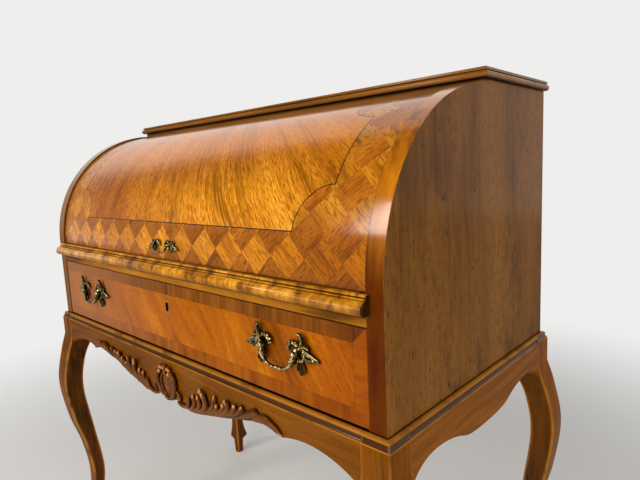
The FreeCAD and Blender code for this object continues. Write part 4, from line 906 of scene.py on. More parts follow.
def brass_finish(name, cast):
    """Old brass: crests and hollows picked by the wear-and-light value, spotted by a fine noise. The bright
    crests are partly wear and partly a painted highlight, the brown hollows partly patina and partly painted
    shade.

    A plain turned piece carries no such value, so a slow noise stands in for it.
    """
    material, tree, shader = new_finish(name)
    place = object_place(tree)
    spots = noise(tree, place, *SPOT_NOISE)
    rubbed = wear_and_light_value(tree) if cast else plus(tree, noise(tree, place, TURNED_SCALE), TURNED_WEAR)
    share = calc(tree, "MULTIPLY_ADD", less(tree, spots, 0.5), SPOT_SHARE, rubbed)
    # The brown end is partly patina and partly painted shade, the bright end partly wear and partly a painted
    # highlight
    brown = blend(tree, smooth_step(tree, share, *BROWNED), BRASS_TONES[0], BRASS_TONES[1])
    colour = blend(tree, smooth_step(tree, share, *BRIGHT), brown, BRASS_TONES[2])
    feed(tree, shader.inputs["Base Color"], colour)
    shader.inputs["Metallic"].default_value = 1.0
    worn_and_lit = smooth_step(tree, share, *SMOOTHED)
    feed(tree, shader.inputs["Roughness"], calc(tree, "MULTIPLY_ADD", worn_and_lit, *BRASS_ROUGH))
    bump = put(tree, "Bump", {"Strength": SPOT_RELIEF, "Distance": SPOT_DEPTH, "Height": spots})
    feed(tree, shader.inputs["Normal"], bump.outputs[0])
    return material


cast_brass = brass_finish("brass_cast", True)
plain_brass = brass_finish("brass_plain", False)
print("brass finishes", cast_brass.name, "and", plain_brass.name)

# %% Liner, steel and iron
LINER_GLINT_TONE = (0.42, 0.36, 0.20)
LINER_GLINT_SPAN = (0.7, 0.85)
STEEL_TONES = ((0.30, 0.29, 0.28), (0.45, 0.44, 0.42))
STEEL_ROUGH = (0.2, 0.3)
FILE_DRAW = (1, 1, 40)
FILE_SCALE = 30.0
IRON_SHADE_TONES = ((0.008, 0.008, 0.008), (0.014, 0.013, 0.012), (0.020, 0.019, 0.018))


def liner_finish():
    """Thin brass liner of the keyhole: dark on its sides, with painted glints at its ends."""
    material, tree, shader = new_finish("brass_liner")
    low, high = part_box("keyhole_liner")
    off = less(tree, axes_of(tree, object_place(tree))[2], (low.z + high.z) / 2)
    share = calc(tree, "DIVIDE", calc(tree, "ABSOLUTE", off), (high.z - low.z) / 2)
    # Painted glints at the top and bottom ends of the liner
    colour = blend(tree, smooth_step(tree, share, *LINER_GLINT_SPAN), BRASS_TONES[0], LINER_GLINT_TONE)
    feed(tree, shader.inputs["Base Color"], colour)
    shader.inputs["Metallic"].default_value = 0.6
    shader.inputs["Roughness"].default_value = 0.4
    return material


def steel_finish():
    """Plain steel: two greys mixed by a noise that is drawn out across the length, as a file leaves it."""
    material, tree, shader = new_finish("steel_plain")
    brushed = noise(tree, moved(tree, object_place(tree), FILE_DRAW), FILE_SCALE, 3.0)
    feed(tree, shader.inputs["Base Color"], blend(tree, brushed, *STEEL_TONES))
    shader.inputs["Metallic"].default_value = 1.0
    feed(tree, shader.inputs["Roughness"], calc(tree, "MULTIPLY_ADD", brushed, *STEEL_ROUGH))
    return material


brass_liner = liner_finish()
steel = steel_finish()
# Iron made near black: the lock carries painted shade, seen through the keyhole
iron_in_shade = plain_wood("iron_black_in_shade", IRON_SHADE_TONES, pored=0.1, rough=0.6, coat=0.0)
print(len(bpy.data.materials), "finishes")

# %% [markdown]
# ## Finishes on the CAD pieces
# A flat board needs no new mesh: it could be modelled again, but its CAD piece already has the right size, so
# it stays and only changes its finish. The grain direction follows the length of each board.

# %% Dress the CAD pieces
DRESSED = {
    stand_level: ["apron_front", "apron_rear"],
    stand_deep: ["apron_right", "apron_left"],
    frieze_walnut: ["frieze_rail"],
    case_level: ["back_panel"],
    case_side: ["side_panel_right", "side_panel_left"],
    drawer_veneer: ["drawer_front"],
    rail_veneer: ["drawer_rail"],
    oak_level: ["case_bottom", "dust_panel", "drawer_back", "drawer_bottom"],
    oak_deep: ["glue_blocks", "slide_runner_right", "slide_runner_left", "drawer_stops", "drawer_side_right",
               "drawer_side_left", "lid_arm_right", "lid_arm_left", "small_drawer_tray_right",
               "small_drawer_tray_left"],
    gallery_level: ["slide_board", "gallery_floor", "gallery_top", "gallery_back", "gallery_shelf",
                    "small_drawer_front_right", "small_drawer_front_left"],
    gallery_upright: ["gallery_end_right", "gallery_end_left", "drawer_dividers", "pigeonhole_partitions",
                      "small_drawer_knob_right", "small_drawer_knob_left"],
    plain_brass: ["drawer_handle_nuts", "lid_handle_nuts"],
    brass_liner: ["keyhole_liner"],
    iron_in_shade: ["drawer_lock"],
    steel: ["lock_bolt", "pivot_pin_right", "pivot_pin_left"],
}


def dress(node, finish):
    """Give a CAD piece one finish in place of what it came with."""
    mesh = NODES[node].data
    mesh.materials.clear()
    mesh.materials.append(finish)


for finish, names in DRESSED.items():
    for name in names:
        dress(name, finish)
print(sum(len(names) for names in DRESSED.values()), "CAD pieces dressed of", len(NODES))

# %% [markdown]
# ## Shape helpers
# Carving and casting are made of rounded arms: a section that swells and thins along a curved line. They
# could be sculpted, but an arm that a few knots steer is easier to change. Each arm is worked out as one grid
# of points, ring after ring, so no point is placed by hand. The knots are in millimetres across, up and proud
# of the ground that the ornament lies on.

# %% Lines and rings
MM = 0.001
ROUND_TIP = 0.16


def smooth_line(knots, count):
    """A line through all its knots.

    Between two knots it is a cubic that leaves and arrives along the chords of their neighbours.
    """
    knots = np.asarray(knots, float)
    knots = np.vstack((2 * knots[0] - knots[1], knots, 2 * knots[-1] - knots[-2]))
    step = np.linspace(0, len(knots) - 3 - 1e-9, count)
    at = step.astype(int)
    part = (step - at)[:, None]
    before, start, end, after = knots[at], knots[at + 1], knots[at + 2], knots[at + 3]
    straight = 2 * start + (end - before) * part
    bend = (2 * before - 5 * start + 4 * end - after) * part ** 2
    return 0.5 * (straight + bend + (3 * start - before - 3 * end + after) * part ** 3)


def unit(rows):
    """Vectors divided by their own lengths."""
    return rows / np.linalg.norm(rows, axis=-1, keepdims=True)


def ringed(rows, sides):
    """Faces of a closed grid, in blocks: quads between neighbouring rings, and one face over each end."""
    ring = np.arange(rows - 1)[:, None] * sides
    here = np.arange(sides)
    there = (here + 1) % sides
    quads = np.stack((ring + here, ring + there, ring + sides + there, ring + sides + here), -1)
    return [quads.reshape(-1, 4), here[None, ::-1], here[None] + (rows - 1) * sides]


print("lines and rings ready")

# %% Arms
TIP_RUN = 0.1
TIP_START = 8.6


def limb(knots, steps=22, sides=16, flutes=0, cut=0.3, tips=(ROUND_TIP, ROUND_TIP), tip_highlight=0.0):
    """An arm: an ellipse carried along a smooth line, with round tips and, if wanted, flutes along its back.

    Each knot is across, up, proud, half width and half height. The ellipse stands on the line's own side and
    lift directions, its tips close along a quarter circle, and a cosine across the back cuts the flutes. The
    wear-and-light value falls from the crest to the flanks, a painted highlight above and painted shade
    below.
    A tip highlight is added to it on the back near the far tip, and grows over one tip run from its start,
    which is counted in runs.
    """
    line = smooth_line(knots, steps)
    spine = line[:, :3]
    run = unit(np.gradient(spine, axis=0))
    side = unit(np.cross(run, (0.0, 0.0, 1.0)))
    lift = np.cross(side, run)
    part = np.linspace(0, 1, steps)
    near = np.minimum(part / tips[0], (1 - part) / tips[1]).clip(0.004, 1)
    swell = np.sqrt(1 - (1 - near) ** 2)[:, None]
    angle = np.linspace(0, 2 * pi, sides, endpoint=False)
    back = 1 - cut * (0.5 - 0.5 * np.cos(2 * flutes * angle)) * (np.sin(angle) > 0)
    width = line[:, 3:4].clip(0.1) * swell * np.cos(angle)
    height = line[:, 4:5].clip(0.1) * swell * np.sin(angle) * back
    points = spine[:, None] + side[:, None] * width[..., None] + lift[:, None] * height[..., None]
    # The value rises towards the crest: painted shade on the flanks and a painted highlight on the crest
    crest = 0.5 + 0.5 * np.sin(angle)
    near_tip = (part[:, None] / TIP_RUN - TIP_START).clip(0, 1)
    rubbed = crest * back ** 2 + tip_highlight * near_tip * (0.4 + 0.6 * crest)
    return points.reshape(-1, 3), ringed(steps, sides), rubbed.ravel()


def brighten(shell, more):
    """The same shell, with a painted highlight added all over."""
    points, faces, rubbed = shell
    return points, faces, rubbed + more


def set_on_front(shell, x, ground_y, z, way=1):
    """Ornament on a front face: across runs along X or against it, up is Z, and proud is out of the face."""
    points, faces, rubbed = shell
    across, up, proud = (points * MM).T
    return np.column_stack((x + way * across, ground_y - proud, z + up)), faces, rubbed


print("arms ready")

# %% [markdown]
# ## From shells to a piece
# A carved or cast piece is one object whose arms run into each other. A Boolean modifier could weld them, but
# it is slow and can leave odd faces, so the closed shells are only joined. Each piece then rides on its body
# and stands for the CAD nodes that it replaces.

# %% Pieces
def piece(name, shells, finish, body, replaced, sharp=40):
    """One object from closed shells: points and faces joined, faces outwards, smooth with sharp arrises."""
    points = np.vstack([shell[0] for shell in shells])
    rubbed = np.hstack([shell[2] for shell in shells])
    starts = np.cumsum([0] + [len(shell[0]) for shell in shells])
    blocks = [block + start for shell, start in zip(shells, starts) for block in shell[1]]
    faces = [face for block in blocks for face in block.tolist()]
    mesh = bpy.data.meshes.new(name)
    mesh.from_pydata(points.tolist(), [], faces)
    mesh.attributes.new("rubbed", "FLOAT", "POINT").data.foreach_set("value", rubbed)
    work = bmesh.new()
    work.from_mesh(mesh)
    bmesh.ops.recalc_face_normals(work, faces=work.faces)
    work.to_mesh(mesh)
    work.free()
    mesh.shade_smooth()
    mesh.set_sharp_from_angle(angle=radians(sharp))
    mesh.materials.append(finish)
    made = bpy.data.objects.new(name, mesh)
    scene.collection.objects.link(made)
    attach(made, body)
    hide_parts(*replaced)
    print(name, len(faces), "faces")


print("piece maker ready")

# %% [markdown]
# ## Legs
# A cabriole leg is cut from a square post: the same curved side view is sawn from two faces, so each level
# section is a square between an inner and an outer line. The corners are then eased by hand. A subdivided
# box could be pulled to that shape, but it would round the arrises away. So the leg is a stack of rounded
# squares; the knots of both lines are sizes of the leg, outward of the case's corner.

# %% Lines of a leg
OUTER_LINE = ((-6, 0), (-4, 44), (13, 52), (-1.4, 100.4), (-5.4, 173), (4, 249.6), (22.05, 326.1),
              (32.2, 420), (22.2, 498.7), (10.5, 549))
INNER_LINE = ((-25, 0), (-27, 44), (-29.7, 108.5), (-34.4, 181), (-23.4, 289.1), (-12.4, 398),
              (-20.1, 475), (-36.5, 530))
TOE_KNOTS = 3
EDGE_LINE = ((10.5, 592), (9.4, 594.2), (7.6, 597.2), (6.6, 599.4), (7.4, 600.4), (6.9, 602.8),
             (5.4, 604.4), (3.5, 605))


def leg_levels():
    """Heights from foot to top with the outer and inner line at each, in millimetres."""
    toe = np.array(OUTER_LINE[:TOE_KNOTS])
    curve = smooth_line(OUTER_LINE[TOE_KNOTS - 1:], 70)
    outer = np.vstack((toe, curve[1:], EDGE_LINE))
    inner = np.vstack((INNER_LINE[:1], smooth_line(INNER_LINE[1:], 70), ((-36.5, 605),)))
    heights = outer[:, 1]
    return heights, outer[:, 0], np.interp(heights, inner[:, 1], inner[:, 0])


print("a leg has", len(leg_levels()[0]), "levels")

# %% Rounded squares
def eased_square(low, high, eased, turn=4, flat=3.5):
    """Rounded squares from low to high, one per row, and a value that is 1 on the worn corners.

    A quarter circle rounds each corner, and one more point on each flat beside it keeps the wear at the
    corner.
    """
    middle = ((low + high) / 2)[:, None]
    half = ((high - low) / 2)[:, None]
    quarter = np.linspace(0, pi / 2, turn + 1)
    start = np.arange(4)[:, None] * pi / 2
    sign_a = np.sign(np.cos(start + pi / 4)).repeat(turn + 3)
    sign_b = np.sign(np.sin(start + pi / 4)).repeat(turn + 3)
    angle = np.column_stack((start, start + quarter, start + pi / 2)).ravel()
    step, rise = np.cos(angle), np.sin(angle)
    back = np.zeros((4, turn + 3))
    back[:, 0] = back[:, -1] = flat
    back = back.ravel()
    a = middle + sign_a * (half - eased[:, None] - back * np.abs(rise)) + eased[:, None] * step
    b = middle + sign_b * (half - eased[:, None] - back * np.abs(step)) + eased[:, None] * rise
    return a, b, np.broadcast_to((back == 0).astype(float), a.shape)


print("rounded squares ready")

# %% Legs
EASED_HEIGHTS = (0, 10, 500, 545)
EASED = (1.5, 2.6, 2.6, 0.7)
WORN_HEIGHTS = (0, 530, 560)
WORN = (0.8, 0.8, 0.4)
INNER_SKIN = 0.5
INNER_SHADE_VALUE = -0.6


def leg(side, front):
    """One leg: rounded squares stacked from foot to top; side is 1 for the right and front is 1 in front."""
    heights, outer, inner = leg_levels()
    eased = np.interp(heights, EASED_HEIGHTS, EASED)
    out_x, out_y, rubbed = eased_square(inner, outer, eased)
    x = side * (CASE_HALF + out_x * MM)
    y = front * (CASE_FRONT - out_y * MM)
    z = np.broadcast_to(heights[:, None] * MM, x.shape)
    worn_and_lit = rubbed * np.interp(heights, WORN_HEIGHTS, WORN)[:, None]
    inner_face = np.minimum(out_x, out_y) - inner[:, None] < INNER_SKIN
    # Inner faces get a value below 0, for painted shade
    worn_and_lit = np.where(inner_face & (rubbed == 0), INNER_SHADE_VALUE, worn_and_lit)
    points = np.stack((x, y, z), -1).reshape(-1, 3)
    return points, ringed(*x.shape), worn_and_lit.ravel()


for front, row in ((1, "front"), (-1, "rear")):
    for side, end in ((1, "right"), (-1, "left")):
        name = "leg_%s_%s" % (row, end)
        piece("cabriole_" + name, [leg(side, front)], stand_upright, "desk", [name], sharp=30)

# %% [markdown]
# ## Straight mouldings
# The slide's front moulding and the nose round the top board are profiles carried along a line. A curve with
# a bevel profile could do it, but its corners need care. On the slide the line is straight. On the top board
# the profile runs round three sides, and each ring is simply the board's outline drawn in by the depth of the
# profile, so the corners mitre themselves.

# %% Slide moulding
SLIDE_LO, SLIDE_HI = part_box("slide_moulding")
SLIDE_EASE = 0.4


def arc_rows(centre, radius, start, end, count):
    """Points on an arc, from one angle in degrees to another."""
    angle = np.radians(np.linspace(start, end, count))
    return np.column_stack((centre[0] + radius * np.cos(angle), centre[1] + radius * np.sin(angle)))


def slide_profile():
    """Out and up, in millimetres: lip, groove, fillet, groove, a full round and a small cove to the foot."""
    lip = [(6.2, 25.6), (6.6, 24.4), (6.2, 23.0)]
    groove = [(4.4, 22.5), (4.4, 21.6)]
    fillet = [(8.6, 21.2), (9.0, 20.3), (8.6, 19.4)]
    nick = [(7.6, 19.0), (7.7, 18.5)]
    bulge = arc_rows((8.6, 8.6), 10.2, 84, -42, 18)
    foot = [(13.4, 1.2), (12.5, 0.0), (0.0, 0.0), (0.0, 26.0), (5.6, 26.0)]
    rows = np.vstack((lip, groove, fillet, nick, bulge, foot))
    # Each row's value is painted shade: near 0 in the grooves, falling down the round, full on the lip
    round_shade = np.linspace(1.3, 0.3, len(bulge)).clip(0, 1)
    lip_shade, groove_shade = (1, 1, 0.8), (0, 0)
    foot_shade = (0.2, 0.1, 0.1, 0.5, 1)
    shade = np.concatenate((lip_shade, groove_shade, lip_shade, groove_shade, round_shade, foot_shade))
    return rows, shade


def slide_moulding():
    """The profile at four places across the desk, drawn in a little at both ends to ease them."""
    profile, shade = slide_profile()
    ease = SLIDE_EASE * MM
    ends = np.array((SLIDE_LO.x, SLIDE_LO.x + ease, SLIDE_HI.x - ease, SLIDE_HI.x))
    drawn_in = np.array((SLIDE_EASE, 0, 0, SLIDE_EASE))[:, None]
    middle = profile.mean(axis=0)
    out = profile[:, 0] - drawn_in * np.sign(profile[:, 0] - middle[0])
    up = profile[:, 1] - drawn_in * np.sign(profile[:, 1] - middle[1])
    x = np.broadcast_to(ends[:, None], out.shape)
    points = np.stack((x, SLIDE_HI.y - out * MM, SLIDE_LO.z + up * MM), -1).reshape(-1, 3)
    # The end rings get 0, so the end faces carry painted shade
    return points, ringed(*out.shape), (shade * np.array((0, 1, 1, 0))[:, None]).ravel()


piece("slide_nosing", [slide_moulding()], moulding_veneer, "slide", ["slide_moulding"])

# %% Top board
BOARD_LO, BOARD_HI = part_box("top_board")


def board_profile():
    """Depth from the edge and height: flat underside, half-round nose, quirk and a fillet under the top."""
    nose = arc_rows((5.6, 6.0), 5.6, -90, -270, 16)
    top = [(4.6, 11.9), (3.4, 12.6), (3.2, 15.4), (3.8, 16.6), (5.0, 17.0)]
    rows = np.vstack(([(60, 0.4), (6.5, 0.4)], nose, top, [(60, 17.0)]))
    # Each row's value paints a highlight on top of the nose and shade under it and in the quirk
    nose_shade = np.linspace(-0.3, 1.7, len(nose)).clip(0, 1)
    shade = np.concatenate(((0.2, 0.1), nose_shade, (0, 0.3, 0.9, 0.8, 0.5, 0.5)))
    return rows, shade


def top_board():
    """One ring of four corners for each row of the profile, drawn in by its depth on three sides."""
    profile, shade = board_profile()
    depth, height = (profile * MM).T
    left, right, fore = BOARD_LO.x + depth, BOARD_HI.x - depth, BOARD_LO.y + depth
    rear = np.full_like(depth, BOARD_HI.y)
    x = np.column_stack((left, right, right, left))
    y = np.column_stack((fore, fore, rear, rear))
    z = np.broadcast_to((BOARD_LO.z + height)[:, None], x.shape)
    return np.stack((x, y, z), -1).reshape(-1, 3), ringed(*x.shape), np.repeat(shade, 4)


piece("moulded_top", [top_board()], top_walnut, "desk", ["top_board"])

# %% [markdown]
# ## Lid
# The lid is a quarter of a cylinder, a board bent round the axis that it turns on. The CAD piece has few
# facets. Smooth shading could hide them on the face, but not along the rim, so a finer band takes its place.
# Its section is closed between two radii, and it runs straight across the desk.

# %% Lid
LID_THICK = 0.014
LID_FROM = radians(-0.9)
LID_TO = radians(92)
LID_EASE = 0.5 * MM


def lid_band():
    """A ring of points per end: out along the larger radius from foot to back, and home along the smaller."""
    angle = np.linspace(LID_FROM, LID_TO, 90)
    around = np.concatenate((angle, angle[::-1]))
    radius = np.repeat((LID_R, LID_R - LID_THICK), len(angle))
    ends = np.array((LID_LO.x, LID_LO.x + LID_EASE, LID_HI.x - LID_EASE, LID_HI.x))
    eased = np.array((LID_EASE, 0, 0, LID_EASE))[:, None] * np.repeat((1, -1), len(angle))
    reach = radius - eased
    x = np.broadcast_to(ends[:, None], reach.shape)
    points = np.stack((x, AXIS_Y - reach * np.cos(around), AXIS_Z + reach * np.sin(around)), -1)
    return points.reshape(-1, 3), ringed(*reach.shape), np.ones(reach.size)


piece("veneered_lid", [lid_band()], lid_veneer, "lid", ["lid_shell"], sharp=30)

# %% [markdown]
# ## Carving on the apron
# The front apron carries an oval cartouche between two sprays of acanthus, carved from a thin board. A spray
# is a stem along the lower edge with fingers that start flat beside it and curl up, each ending in its own
# tip. Sculpting would do, but carving is symmetrical work. So the fingers are arms; the knots of one spray
# are written down, and the other is its mirror image.

# %% Sprays
APRON_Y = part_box("apron_front")[0].y
APRON_EDGE = ((31, 82), (72, 93), (117.65, 85.1), (196.5, 66.6), (279.5, 49), (318, 56.6))


def edge_depth(across):
    """Depth of the apron's lower edge under the stand's top, along the spray."""
    return np.interp(across, *np.transpose(APRON_EDGE))


def finger(turn, middle, tip, width, rise=5.0, flutes=0, tail=42.0):
    """A curled finger: its thin tail runs along the apron's edge, and it is highest near its tip.

    Places are across and depth. The tail starts close to the edge and comes up to the turn half way.
    """
    root = turn[0] - tail
    half_way = turn[0] - 0.45 * tail
    root_depth = edge_depth(root) - 2.4
    half_depth = 0.55 * (edge_depth(half_way) - 2.4) + 0.45 * turn[1]
    rows = ((root, root_depth, 1.0, 0.3), (half_way, half_depth, 1.8, 0.55), (*turn, 2.6, 0.85),
            (*middle, 0.65 * rise, 1.0), (*tip, rise, 0.75))
    knots = [(x, -depth, proud, share * width, 0.72 * rise) for x, depth, proud, share in rows]
    # The finger's tip carries a painted highlight
    return limb(knots, steps=30, flutes=flutes, cut=0.35, tips=(0.1, 0.12), tip_highlight=0.35)


def drop(across, depth, proud, radius, long=1.0):
    """A bead or drop: a short arm, round at both ends."""
    half = radius * long
    knots = [(across, -depth + way * half, proud, radius, radius) for way in (-1, 0, 1)]
    return limb(knots, steps=14, tips=(0.5, 0.5))


def spray():
    """Stem, fingers and scroll of the right spray, from the cartouche outwards."""
    curl = limb([(41, -82, 2, 2.5, 3), (44.5, -74, 3.5, 3.6, 3.5), (41, -66, 5, 3.4, 3.2),
                 (36.5, -62, 5.5, 2, 2.5)])
    stem = limb([(31, -83, 2, 2.5, 3), (46, -86.5, 3, 3.6, 3.6), (64, -84, 3.6, 3.8, 3.8),
                 (73.5, -74, 4.2, 3.6, 3.4), (76, -61, 5, 2.2, 2.6)], steps=30)
    fingers = [
        finger((81, 82), (91, 69), (88.5, 52.5), 5.2, tail=30),
        finger((97, 80), (106.5, 66.5), (103, 50), 5.4, tail=38),
        finger((115, 76), (127, 59), (118, 36), 6.4, rise=6.5),
        finger((133, 72), (147, 58), (155.5, 36), 7.8, rise=4.4, flutes=2),
        finger((148, 69), (158, 60), (161.5, 50), 5.0),
        finger((166, 63), (176, 54), (179.5, 43.5), 5.9),
        finger((182, 59), (191, 48), (189, 34.5), 5.8, rise=6.0),
        finger((197, 55), (206, 46), (211.5, 36), 6.0),
        finger((214, 51), (224, 42), (230, 33.5), 7.6, rise=4.8, flutes=2),
    ]
    # Drops at the finger tips, given a painted highlight
    tips = [brighten(drop(118.5, 38, 7.2, 4.8), 0.25), brighten(drop(189, 37, 6.6, 4.0), 0.25)]
    broad = limb([(214, -58, 1.5, 3, 2.5), (236, -48, 3, 7, 3.5), (256, -39, 4, 9.5, 3.6),
                  (268, -33, 4.5, 8, 3.4)], flutes=2, cut=0.25, tips=(0.3, 0.06))
    # The scroll's tip carries a painted highlight
    scroll = limb([(244, -50, 1.5, 3, 2.5), (262, -43, 3, 6.5, 4), (284, -38.5, 4, 7.5, 4.5),
                   (304, -44, 3.5, 5.5, 4), (320, -54, 2, 2.5, 2.5)], steps=30, tips=(0.2, 0.1), tip_highlight=0.3)
    return [curl, stem, *fingers, *tips, broad, scroll]


right_spray = spray()
print("a spray of", len(right_spray), "arms")

# %% Cartouche
def cartouche_side():
    """Right half of the cartouche's frame: outer scroll, inner rim and the lobe beside its crest."""
    outer = limb([(15, -33, 5.5, 4.5, 4.5), (23, -34, 5.5, 5.2, 5), (30, -46, 5, 5.2, 5),
                  (29, -62, 4.5, 4.8, 4.6), (20, -76, 4, 4.4, 4.4), (7, -83, 3.5, 3.8, 4)], steps=36)
    rim = limb([(3, -37, 3, 1.6, 2.4), (14, -41, 3, 1.9, 2.6), (21, -53, 3, 2, 2.6), (18, -68, 3, 2, 2.6),
                (8, -77, 3, 1.8, 2.4), (0, -78.5, 3, 1.6, 2.4)], steps=34)
    # The lobe and the knop carry a painted highlight
    lobe = limb([(6, -29, 4, 3, 3.5), (12, -25, 5.5, 4.8, 4.6), (18.5, -28, 5.5, 4, 4)], tip_highlight=0.3)
    knop = brighten(drop(16.5, 34, 7.5, 4.2), 0.3)
    return [outer, rim, brighten(lobe, 0.2), knop, drop(9, 85, 2.5, 3.2, 1.3), drop(17, 82.5, 2.2, 2.8, 1.3)]


def cartouche_middle():
    """Crest, field and foot on the middle line."""
    crest = limb([(0, -19, 5, 4.6, 4.5), (0, -26, 5.5, 4.2, 4.5), (0, -34, 5, 2.8, 3.6),
                  (0, -40, 4.4, 1.4, 2.4)])
    field = limb([(0, -36, 0, 9, 3.4), (0, -46, 0, 18, 4.4), (0, -58, 0, 19.5, 4.8), (0, -70, 0, 15, 4.2),
                  (0, -79, 0, 6, 3)], steps=30, sides=28, tips=(0.12, 0.12))
    # The crest carries a painted highlight
    return [brighten(crest, 0.12), field, drop(0, 86, 3, 3.6, 1.3)]


right_half = right_spray + cartouche_side()
both_ways = [set_on_front(shell, 0.0, APRON_Y, STAND_TOP, way) for way in (1, -1) for shell in right_half]
middle = [set_on_front(shell, 0.0, APRON_Y, STAND_TOP) for shell in cartouche_middle()]
print(len(both_ways) + len(middle), "arms in the carving")

# %% [markdown]
# ## Colour of the carving
# The carving carries painted shade in its grooves and painted highlights on its crests and tips. Ambient
# occlusion could find the grooves, but the arms bring their own value for wear and painted light instead.

# %% Carved finish
CARVED_TONES = ((0.007, 0.002, 0.0), (0.115, 0.031, 0.001), (0.56, 0.24, 0.08))
CARVED_SCALE = 60.0
CARVED_PATCHY = 0.3
GROOVES = (0.5, 0.88)
CRESTS = (0.98, 1.2)
STREAK_SHARE = 0.2


def carved_finish():
    """Carved walnut: the wear-and-light value and a little noise pick painted shade, wood and painted
    highlights.
    """
    material, tree, shader = new_finish("carved_walnut")
    place = object_place(tree)
    streak, height = grain(tree, moved(tree, place, turn=ALONG_X), STAND_TONES, clouds=16.0, streaks=140.0)
    rubbed = wear_and_light_value(tree)
    patchy = noise(tree, place, CARVED_SCALE)
    share = calc(tree, "MULTIPLY_ADD", less(tree, patchy, 0.5), CARVED_PATCHY, rubbed)
    # Low values give painted shade in the grooves, high values painted highlights on crests and tips
    lower = blend(tree, smooth_step(tree, share, *GROOVES), CARVED_TONES[0], CARVED_TONES[1])
    tone = blend(tree, smooth_step(tree, share, *CRESTS), lower, CARVED_TONES[2])
    colour = blend(tree, STREAK_SHARE, tone, streak)
    polish(tree, shader, colour, height, rough=0.34, coat=0.25, coat_rough=0.07)
    return material


carved_walnut = carved_finish()
piece("acanthus_carving", both_ways + middle, carved_walnut, "desk", ["apron_carving"])

# %% [markdown]
# ## Brass handles
# Each handle is a bail that hangs between two cast mounts. A mount is a small burst of leaves: one upright,
# one wing to the outside with a scalloped edge, a curl to the inside, a tuft below, and a pierced ring in the
# middle. The bail has a heavy collared neck at each end and bows towards the hand. The lid's handle is a
# smaller casting without the upright leaf and the tuft. One mount could be modelled and copied; here it is
# worked out from arms, so that both handles share its parts.

# %% Cast mounts
def cast_wing():
    """Outer wing: a fluted leaf under a straight bright ridge, and scallops along its lower edge."""
    leaf = limb([(8, 2, 5.2, 5, 3), (14, -1.5, 5.6, 7.6, 3.2), (22, -4, 5.2, 7.6, 3),
                 (28, -5.2, 4.4, 5.4, 2.8), (34, -6, 3.8, 3.8, 2.6), (41, -6.5, 3, 2.4, 2.4)],
                steps=34, sides=36, flutes=3, cut=0.45)
    ridge = limb([(6, 6, 6.2, 1.8, 2.2), (15, 5.2, 6.6, 2, 2.4), (23, 2.6, 6, 1.9, 2.2),
                  (31, -1.6, 5, 1.7, 2), (39, -5, 3.8, 1.4, 1.8)], steps=26, sides=12)
    scallops = [limb([(x - 2, z + 7, 4.2, 3.2, 2.6), (x, z, 4.4, 3.3, 2.6)], steps=16, tips=(0.3, 0.5))
                for x, z in ((12, -9.5), (18, -11.5), (24, -11), (30, -9.5))]
    spur = limb([(5, 6, 5, 3.4, 2.8), (11, 9.5, 5.6, 4.6, 2.8), (17, 9.5, 5.2, 4.2, 2.6),
                 (22.5, 6.5, 4.4, 2.6, 2.2)], sides=24, flutes=2, cut=0.4)
    return [leaf, ridge, spur, *scallops]


def cast_curl():
    """Inner curl: a broad arch that rolls in at its end, with a leafy fringe of lobes on its back."""
    arch = limb([(4, 6.5, 5.2, 3.4, 3), (-1, 11, 6, 4.2, 3.2), (-7, 12.5, 6.4, 4.4, 3.4),
                 (-13, 10.5, 6.4, 4.2, 3.2), (-16.5, 5.5, 6, 3.6, 3), (-16, 1.5, 6, 2.8, 2.8),
                 (-12.6, 1.6, 6.6, 2.2, 2.4)], steps=40, sides=24, flutes=2, cut=0.4)
    lobes = [limb([(x, z, p, 2.9, 2.6), (x + dx, z + dz, p - 0.8, 2.5, 2.2)], steps=14, tips=(0.4, 0.5))
             for x, z, p, dx, dz in ((-2, 12, 6.2, 0, 3.6), (-7, 13, 6.6, -1.2, 3.6), (-12, 12, 6.6, -2.8, 3),
                                     (-16, 8, 6.2, -3.8, 1.4), (-17, 3.5, 5.8, -3.4, -0.6))]
    return [arch, *lobes]


def cast_middle(stand):
    """Pierced ring against the wood, heavy at its foot, and the arm that carries the pivot in front of it."""
    ring = limb([(6.9, 6.2, 5.2, 3, 3), (12, 3.5, 5.2, 2.8, 3), (13.4, -2.1, 5.2, 2.6, 3),
                 (12, -7.8, 5.4, 2.8, 3.2), (6.9, -10.8, 5.8, 3.8, 3.8), (1.8, -7.8, 5.4, 2.8, 3.2),
                 (0.4, -2.1, 5.2, 2.6, 3), (1.8, 3.5, 5.2, 2.8, 3), (6.9, 6.2, 5.2, 3, 3)], steps=52)
    arm = limb([(4.5, 7, 2, 4.2, 3.4), (1.5, 5.5, 0.6 * stand, 3.8, 3.4),
                (-1, 1.5, 0.85 * stand, 3.2, 3.2)], steps=20)
    return [ring, arm]


def cast_upright():
    """Upright leaf whose tip rolls inwards and forward, and the tuft of lobes below."""
    leaf = limb([(3, 5, 5, 4, 2.8), (8, 12, 5.8, 5, 2.8), (10.2, 19, 6.4, 5.2, 2.8),
                 (8.6, 25.5, 7.6, 4.4, 2.6), (4, 29.4, 9.4, 2.8, 2.4)],
                steps=30, sides=24, flutes=2, cut=0.45)
    tuft = [limb([(5, -13, 4.4, 3.4, 3), (5 + 0.6 * dx, -21, 5, 4, 3.2), (5 + dx, low, 5, 3.2, 2.8)],
                 flutes=1, cut=0.4) for dx, low in ((-6, -27.5), (0.5, -33.5), (6, -29))]
    crescent = limb([(3, -12, 5.4, 2, 2.2), (-4, -14, 6, 2.6, 2.4), (-7.5, -19, 5.6, 2, 2)], steps=18)
    return [leaf, *tuft, crescent]


print("wing of", len(cast_wing()), "arms, curl of", len(cast_curl()), "and upright of", len(cast_upright()))

# %% [markdown]
# ## Bails
# A bail is what the hand pulls: it swings on two pins in the mounts. It could be a bent pipe, but the real
# one is cast, with a collared neck at each end and a bar that swells twice. One half is written down as rows
# of places and radii, and the other half mirrors it.

